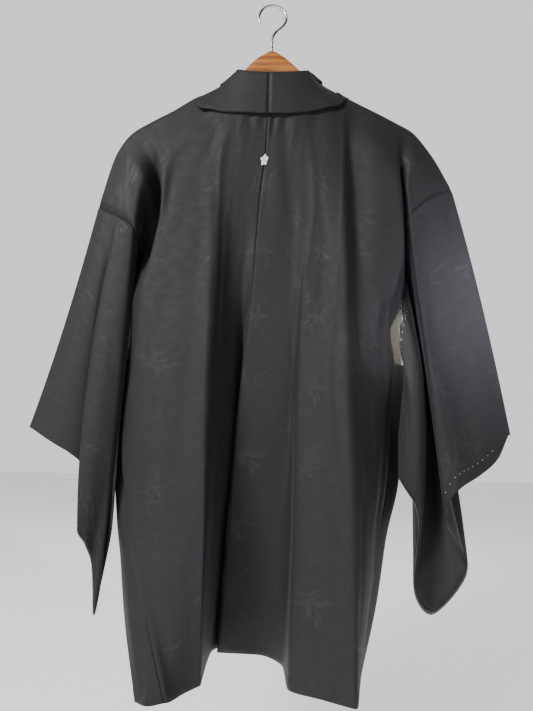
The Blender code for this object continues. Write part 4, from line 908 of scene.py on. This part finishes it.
def sleeve(name, side, table, back, front):
    v = dense([0, 12, 18, 30, 40, 56, 72, 87, 111, 134, 148, 165, 192, 216, 230, 270, 330, 420], 3.2)
    near, far = sleeve_rows(table, back, front, v)
    first = next(r[1] for r in table if r[0] == "sewn")
    sewn = v >= first
    gap = unit(far[1] - near[1])
    tip = near[2] + unit(near[2] - near[1]) * 2.0
    near[2][sewn] -= (gap * 2.2)[sewn]
    far[2][sewn] = (near[2] + gap * 4.4)[sewn]
    t = np.concatenate([[0, 0.008, 0.02], np.linspace(0.035, 0.965, 62), [0.98, 0.992, 1.0]])
    n, f = ray_points(near, t), ray_points(far, t)
    cut = v <= SLEEVE_SEAM
    for g, lines in ((n, back), (f, front)):
        own = ray_points((near, far)[0 if g is n else 1], [0.0, 0.05])[:, 1]
        inside = panel(lines, np.array([lines[-1][0] - 5.0]), np.minimum(v, SLEEVE_SEAM))[:, 0]
        tt = trimmed(g[:, 0], own, inside)
        g[cut, 0] = tt[cut]
    for g, facing, key in ((n, -1, "near_"), (f, 1, "far_")):
        T, V = np.meshgrid(t * 400, v)
        nn = normals(g, facing)
        d = creases(T, V, CREASES[key + side]) + 0.8 * noise(V * 1.6, T, 41 + len(key) + (side == "right"))
        d *= np.clip(V / 8.0, 0, 1) * np.clip(T / 10.0, 0, 1) * np.clip((400 - T) / 8.0, 0, 1)
        d += np.where(V <= SLEEVE_SEAM, pinch(T, 0.45, 3.0), 0)
        endd = 400 - T
        d += np.where(V >= first, pinch(endd, 0.5, 6.0) + pucker(endd, V, 0.35, 14, 12, 0.7) * np.clip(endd / 4, 0, 1), 0)
        g += nn * d[..., None]
    k = len(t)
    verts = list(n.reshape(-1, 3))
    uvs = [(900 + w * 1.0, q * 400) for w in v for q in t]
    faces = grid_faces(len(v), k, 0)
    fstart = len(verts)
    verts += list(f.reshape(-1, 3))
    uvs += [(1400 - w * 1.0, q * 400) for w in v for q in t]
    faces += grid_faces(len(v), k, fstart, flip=True)
    prev = list(range(0, k))
    for row in roll(n[0], f[0], 4) + [None]:
        if row is None:
            cur = list(range(fstart, fstart + k))
        else:
            cur = list(range(len(verts), len(verts) + k))
            verts += list(row)
            uvs += [(900.0, q * 400) for q in t]
        for j in range(k - 1):
            faces.append((prev[j], cur[j], cur[j + 1], prev[j + 1]))
        prev = cur
    ids = [i for i in range(len(v)) if sewn[i]]
    tips = {}
    for i in ids:
        tips[i] = len(verts)
        verts.append(tip[i])
        uvs.append((900 + v[i], 402))
    for i, i2 in zip(ids[:-1], ids[1:]):
        a, a2 = i * k + k - 1, i2 * k + k - 1
        b, b2 = fstart + a, fstart + a2
        faces.append((a, a2, tips[i2], tips[i]))
        faces.append((tips[i], tips[i2], b2, b))
    cy = float(np.mean(n[..., 1]) + np.mean(f[..., 1])) / 2
    nc = np.array([q for q in n.reshape(-1, 3)])
    faces = outward(verts, faces, lambda p: np.array([0, p[1] - cy, 0]))
    piece("cloth_" + name, verts, faces, uvs, [SILK, SLEEVE_LINING], [name], CLOTH)
    return n, f, v, t, near, far


SL = {}
SL["left"] = sleeve("sleeve_left", "left", SLEEVE_LEFT, BACK_LEFT, FRONT_LEFT)
SL["right"] = sleeve("sleeve_right", "right", SLEEVE_RIGHT, BACK_RIGHT, FRONT_RIGHT)


def collar(name, table, seam_dir, seed):
    ls = [r[0] for r in table]
    l = dense([0, 30, 58, 80, 104, 140, 230, 440, 640, 860, 980], 6.0)
    l = np.clip(l, ls[0], ls[-1])
    fold, free, seam = [smooth(ls, np.array([r[k] for r in table], float), l) for k in (1, 2, 3)]
    fold[0, 0] = free[0, 0] = seam[0, 0] = -3.5 + seam_dir * SEAM * 0.1
    free[:, 2] -= 5.0 * np.exp(-((l - 92.0) / 17.0) ** 2)
    free[:, 1] += 5.0 * np.clip((124.0 - l) / 30.0, 0, 1)
    up = unit(fold - (free + seam) / 2)
    out = free - seam
    out = unit(out - (out * up).sum(1)[:, None] * up)
    g = 2.6
    rows = [seam, (seam * 0.5 + fold * 0.5) - out * g * 0.6, fold - out * g - up * g, fold,
            fold + out * g - up * g, fold * 0.5 + free * 0.5 + out * (g * 0.6), free]
    net = np.stack(rows, 0).reshape(len(rows), -1)
    q = np.array([0, 0.25, 0.5, 0.75, 1, 1.3, 1.6, 1.8, 2, 2.2, 2.4, 2.6, 2.8, 3, 3.2, 3.4, 3.6, 3.8, 4, 4.2, 4.4, 4.6, 4.8, 5,
                  5.15, 5.3, 5.45, 5.6, 5.75, 5.85, 5.93, 6])
    G = smooth(list(range(7)), net, q).reshape(len(q), len(l), 3).transpose(1, 0, 2)
    Q, L = np.meshgrid(q, l)
    n = unit(np.cross(np.gradient(G, axis=1), np.gradient(G, axis=0)))
    # outside of the turned-down flap looks along out
    if (n[:, -4] * out).sum() < 0:
        n = -n
    rng = np.random.default_rng(seed)
    d = np.zeros_like(Q)
    for _ in range(9):
        c, w, a = rng.uniform(10, 960), rng.uniform(14, 40), rng.uniform(-0.9, 0.9)
        d += a * np.exp(-((L - c + (Q - 4) * rng.uniform(-8, 8)) / w) ** 2)
    d *= np.sin(np.clip(Q / 6, 0, 1) * math.pi) ** 0.5
    edge = (6 - Q) * 30
    d += 0.25 * np.exp(-((edge - 5.0) / 2.0) ** 2) + pucker(edge, L, 0.25, 18, 14, 0.3)
    G = G + n * d[..., None]
    verts = list(G.reshape(-1, 3))
    faces = outward(verts, grid_faces(len(l), len(q), 0), lambda p: np.array([0.0, 0.0, 1.0]))
    uv = [(1900 + a * 20, b) for b in l for a in q]
    piece("cloth_" + name, verts, faces, uv, [SILK], [name], COLLAR_CLOTH)


collar("collar_left", COLLAR_LEFT, -1, 5)
collar("collar_right", COLLAR_RIGHT, 1, 6)


# ---- the generic motif, sewn in white thread --------------------------------
def back_point(x, v):
    lines = BACK_RIGHT if x >= 0 else BACK_LEFT
    return panel(lines, np.array([abs(x)]), np.array([v]))[0, 0]


def motif(name, v0, radius):
    verts, faces = [], []
    n, rings = 60, 9

    def put(dx, dv, lift):
        p = back_point(dx, v0 + dv)
        a = back_point(dx + 3, v0 + dv) - back_point(dx - 3, v0 + dv)
        b = back_point(dx, v0 + dv + 3) - back_point(dx, v0 + dv - 3)
        nrm = np.cross(a, b)
        nrm /= np.linalg.norm(nrm)
        if nrm[1] > 0:
            nrm = -nrm
        verts.append(p + nrm * lift)

    base = CLOTH / 2 + SEAM
    put(0, 0, base + 1.0)
    for ring in range(1, rings + 1):
        q = ring / rings
        for k in range(n):
            a = 2 * math.pi * k / n
            r = radius * q * (1 - 0.3 * q * abs(math.sin(2.5 * a)) ** 1.8)
            # a dip between lobes and a ring round the middle, as satin stitch leaves them
            dip = 0.35 * abs(math.sin(2.5 * a)) ** 6 * (q > 0.25) + 0.35 * math.exp(-((q - 0.34) / 0.06) ** 2)
            edge = 0.55 * max(0.0, (q - 0.8) / 0.2) ** 2
            put(r * math.sin(a), -r * math.cos(a), base + 1.0 - dip - edge)
    for k in range(n):
        k2 = (k + 1) % n
        faces.append((0, 1 + k, 1 + k2))
        for ring in range(rings - 1):
            a = 1 + ring * n
            faces.append((a + k, a + n + k, a + n + k2, a + k2))
    faces = outward(verts, faces, lambda p: np.array([0, -1.0, 0]))
    return piece(name, verts, faces, None, [CREST], ["crest"], 0.5)


motif("crest_motif", 97.0, 9.6)

# ---- lining in the right opening --------------------------------------------
v = dense([192, 230, 300, 345], 5.0)
s = dense([246, 266, 284, 304, 326], 3.0)
g = panel(FRONT_RIGHT, s, v)
nrm = unit(np.cross(np.gradient(g, axis=1), np.gradient(g, axis=0)))
nrm *= np.sign((nrm * (np.array([120.0, 0.0, -450.0]) - g)).sum())
g[:, -1] += (g[:, -1] - g[:, -2]) * 0.9
g = g + nrm * (CLOTH / 2 + SEAM + 1.5)
S, V = np.meshgrid(s, v)
g = g + nrm * (0.3 * (1 + noise(S, V, 77)))[..., None]
faces = outward(list(g.reshape(-1, 3)), grid_faces(len(v), len(s), 0), lambda p: np.array([0, -1.0, 0]))
piece("cloth_lining_right", list(g.reshape(-1, 3)), faces, [(q, w) for w in v for q in s], [CREAM], ["lining_right"], 1.0)


# ---- hand stitches ----------------------------------------------------------
def stitches(name, points, outdir, mat, length=2.6, r=0.42):
    """Short raised stitches along a line, one at each point, lying along it."""
    verts, faces = [], []
    P = np.asarray(points, float)
    T = unit(np.gradient(P, axis=0))
    for i, (p, t) in enumerate(zip(P, T)):
        o = unit(outdir[i])
        b = unit(np.cross(t, o))
        rings = []
        for q in (-1, -0.75, -0.35, 0, 0.35, 0.75, 1):
            rad = r * math.sqrt(max(0.02, 1 - q * q))
            c = p + t * q * length / 2 + o * (0.25 * (1 - q * q))
            ring = []
            for k in range(8):
                a = 2 * math.pi * k / 8
                ring.append(len(verts))
                verts.append(c + (o * math.cos(a) + b * math.sin(a)) * rad)
            rings.append(ring)
        for r0, r1 in zip(rings[:-1], rings[1:]):
            for k in range(8):
                faces.append((r0[k], r0[(k + 1) % 8], r1[(k + 1) % 8], r1[k]))
        faces.append(tuple(rings[0][::-1]))
        faces.append(tuple(rings[-1]))
    return piece(name, verts, faces, None, [mat], None)


def along(n, i0, i1, t_index, count, step_in, sign):
    idx = np.linspace(i0, i1, count).round().astype(int)
    pts = n[idx, t_index]
    return pts, idx


# right cuff: a running stitch 4 mm in from the edge
n, f, v, t, near, far = SL["right"]
j = len(t) - 4
rows = [int(np.argmin(abs(v - q))) for q in np.arange(20, 86, 6.5)]
pts = n[rows, j]
nn = normals(n, -1)[rows, j]
stitches("cuff_stitches_right", pts + nn * (CLOTH / 2 + 0.2), nn, CREST, 1.8, 0.3)
# right side opening: on the body's edge and on the sleeve's inner edge
vv = np.arange(238, 340, 9.0)
gb = panel(BACK_RIGHT, np.array([318.0, 321.5, 325.0]), vv)
nb = normals(gb, -1)[:, 1]
stitches("opening_stitches_body", gb[:, 1] + nb * (CLOTH / 2 + 0.2), nb, CREST, 1.8, 0.3)
rows = [int(np.argmin(abs(v - q))) for q in np.arange(240, 330, 9.0)]
j = 3
stitches("opening_stitches_sleeve", n[rows, j] + normals(n, -1)[rows, j] * (CLOTH / 2 + 0.2), normals(n, -1)[rows, j], CREST, 1.8, 0.3)


# ---- hanger -----------------------------------------------------------------
def hanger_wood():
    x = np.array([r[0] for r in WOOD], float)
    q = np.linspace(x[0], x[-1], 150)
    top = smooth(x, np.array([r[1] for r in WOOD], float), q)[:, 0]
    deep = smooth(x, np.array([r[2] for r in WOOD], float), q)[:, 0]
    verts, faces = [], []
    K = 32
    half_t = WOOD_T / 2
    for i, (a, z, d) in enumerate(zip(q, top, deep)):
        # rounded section, drawn in at both ends
        end = min(1.0, (min(i, len(q) - 1 - i) + 0.35) / 5.0)
        pull = math.sqrt(max(0.0, 1 - (1 - end) ** 2))
        pull = max(pull, 0.25)
        for k in range(K):
            ang = 2 * math.pi * k / K
            cx, cz = math.cos(ang), math.sin(ang)
            p = 3.2
            rr = (abs(cx) ** p + abs(cz) ** p) ** (-1 / p)
            verts.append((a, cx * rr * half_t * pull, z - d / 2 + cz * rr * d / 2 * (0.5 + 0.5 * pull)))
    for i in range(len(q) - 1):
        for k in range(K):
            k2 = (k + 1) % K
            faces.append((i * K + k, i * K + k2, (i + 1) * K + k2, (i + 1) * K + k))
    faces.append(tuple(range(K - 1, -1, -1)))
    faces.append(tuple((len(q) - 1) * K + k for k in range(K)))
    mid = np.mean(verts, axis=0)
    faces = outward(verts, faces, lambda p: np.array([0, p[1], 0]))
    return piece("hanger_body", verts, faces, None, [WOOD_M], ["hanger_wood"])


def tube(pts, radius, K=16, closed_ends=True):
    P = np.asarray(pts, float)
    T = unit(np.gradient(P, axis=0))
    verts, faces = [], []
    N = np.array([0.0, 1.0, 0.0])
    n = len(P)
    for i in range(n):
        b = unit(np.cross(T[i], N))
        # rounded tip at the free end
        rem = min(1.0, (n - 1 - i + 0.15) / 3.0)
        r = radius * math.sqrt(max(0.03, 1 - (1 - rem) ** 2))
        for k in range(K):
            a = 2 * math.pi * k / K
            verts.append(P[i] + (N * math.cos(a) + b * math.sin(a)) * r)
    for i in range(n - 1):
        for k in range(K):
            k2 = (k + 1) % K
            faces.append((i * K + k, i * K + k2, (i + 1) * K + k2, (i + 1) * K + k))
    faces.append(tuple(range(K - 1, -1, -1)))
    faces.append(tuple((n - 1) * K + k for k in range(K)))
    return verts, faces


def hanger_hook():
    r = HOOK_R
    zc = HOOK_WIRE / 2 - r
    knots = [(0, -79.6), (0, -70), (0, -60), (1.5, -52), (6, -45), (13, -38.5)]
    for k in range(15):
        a = math.radians(-38 + k * 248 / 14)
        knots.append((r * math.cos(a), zc + r * math.sin(a)))
    K = np.array(knots, float)
    d = np.concatenate([[0], np.cumsum(np.linalg.norm(np.diff(K, axis=0), axis=1))])
    q = np.arange(0, d[-1], 0.7)
    # Catmull-Rom through the knots
    out = []
    for x in q:
        i = min(max(int(np.searchsorted(d, x, side="right") - 1), 0), len(d) - 2)
        p0, p1, p2, p3 = K[max(i - 1, 0)], K[i], K[i + 1], K[min(i + 2, len(K) - 1)]
        u = (x - d[i]) / (d[i + 1] - d[i])
        out.append(0.5 * ((2 * p1) + (p2 - p0) * u + (2 * p0 - 5 * p1 + 4 * p2 - p3) * u * u + (3 * p1 - p0 - 3 * p2 + p3) * u ** 3))
    P = np.array([(a, 0.0, b) for a, b in out])
    verts, faces = tube(P, HOOK_WIRE / 2)
    c = P.mean(0)
    return piece("hanger_wire", verts, faces, None, [STEEL], ["hanger_hook"])


hanger_wood()
hanger_hook()

# ---- stage ------------------------------------------------------------------
def stage_material(name, colour):
    m, nt, bsdf = new_material(name)
    bsdf.inputs["Base Color"].default_value = colour
    bsdf.inputs["Roughness"].default_value = 0.9
    return m


fl = bpy.data.meshes.new("floor")
fl.from_pydata([(-6, -6, -1.25), (6, -6, -1.25), (6, 6, -1.25), (-6, 6, -1.25)], [], [(0, 1, 2, 3)])
pale = stage_material("pale_floor", (0.78, 0.78, 0.78, 1))
shader = next(n for n in pale.node_tree.nodes if n.type == "BSDF_PRINCIPLED")
shader.inputs["Emission Color"].default_value = (0.80, 0.81, 0.83, 1)
shader.inputs["Emission Strength"].default_value = 1.02
fl.materials.append(pale)
floor = bpy.data.objects.new("floor", fl)
bpy.context.scene.collection.objects.link(floor)

world = bpy.data.worlds.new("studio")
bpy.context.scene.world = world
world.use_nodes = True
wt = world.node_tree
bg = next(n for n in wt.nodes if n.type == "BACKGROUND")
out = next(n for n in wt.nodes if n.type == "OUTPUT_WORLD")
bg.inputs[0].default_value = (0.80, 0.82, 0.85, 1)
bg.inputs[1].default_value = 0.055
# the backdrop is seen pale, and lights the cloth only a little
seen = wt.nodes.new("ShaderNodeBackground")
seen.inputs[0].default_value = (0.80, 0.81, 0.83, 1)
seen.inputs[1].default_value = 1.32
path = wt.nodes.new("ShaderNodeLightPath")
both = wt.nodes.new("ShaderNodeMixShader")
wt.links.new(path.outputs["Is Camera Ray"], both.inputs[0])
wt.links.new(bg.outputs[0], both.inputs[1])
wt.links.new(seen.outputs[0], both.inputs[2])
wt.links.new(both.outputs[0], out.inputs["Surface"])


def area_light(name, at, to, size, power, colour=(1, 1, 1), spread=math.pi):
    from mathutils import Vector
    li = bpy.data.lights.new(name, "AREA")
    li.shape = "RECTANGLE"
    li.size, li.size_y = size
    li.energy = power
    li.color = colour
    li.spread = spread
    ob = bpy.data.objects.new(name, li)
    ob.location = at
    ob.rotation_euler = (Vector(to) - Vector(at)).to_track_quat("-Z", "Y").to_euler()
    bpy.context.scene.collection.objects.link(ob)


area_light("key", (-1.5, -1.75, 0.95), (0.0, 0.0, -0.45), (0.7, 0.7), 84, (1.0, 0.99, 0.96))
area_light("low", (-1.3, -2.2, -0.7), (0.0, 0.0, -0.75), (1.0, 1.0), 10, (1.0, 0.98, 0.96))
area_light("side", (1.6, -1.6, 0.1), (0.40, 0.0, -0.46), (0.2, 0.2), 0.50, (0.90, 0.93, 1.0), 0.20)
area_light("opening", (-0.38, -2.35, -0.97), (0.187, 0.01, -0.545), (0.1, 0.1), 0.034, (1.0, 1.0, 0.98), 0.045)
area_light("rim", (0.6, 1.9, 1.0), (0.0, 0.0, -0.5), (1.4, 1.4), 24)


def camera():
    from mathutils import Matrix, Vector
    pitch, rollr = math.radians(8.0), math.radians(1.2)
    fwd = Vector((0, math.cos(pitch), math.sin(pitch)))
    right0 = Vector((1, 0, 0))
    up0 = right0.cross(fwd)
    R = math.cos(rollr) * right0 + math.sin(rollr) * up0
    U = -math.sin(rollr) * right0 + math.cos(rollr) * up0
    M = Matrix(((R.x, U.x, -fwd.x), (R.y, U.y, -fwd.y), (R.z, U.z, -fwd.z))).to_4x4()
    M.translation = Vector((0.0013, -0.777, -0.6786))
    cam = bpy.data.cameras.new("camera")
    cam.sensor_width = 36
    cam.lens = 27.04
    cam.clip_start = 0.01
    ob = bpy.data.objects.new("camera", cam)
    ob.matrix_world = M
    bpy.context.scene.collection.objects.link(ob)
    bpy.context.scene.camera = ob


camera()
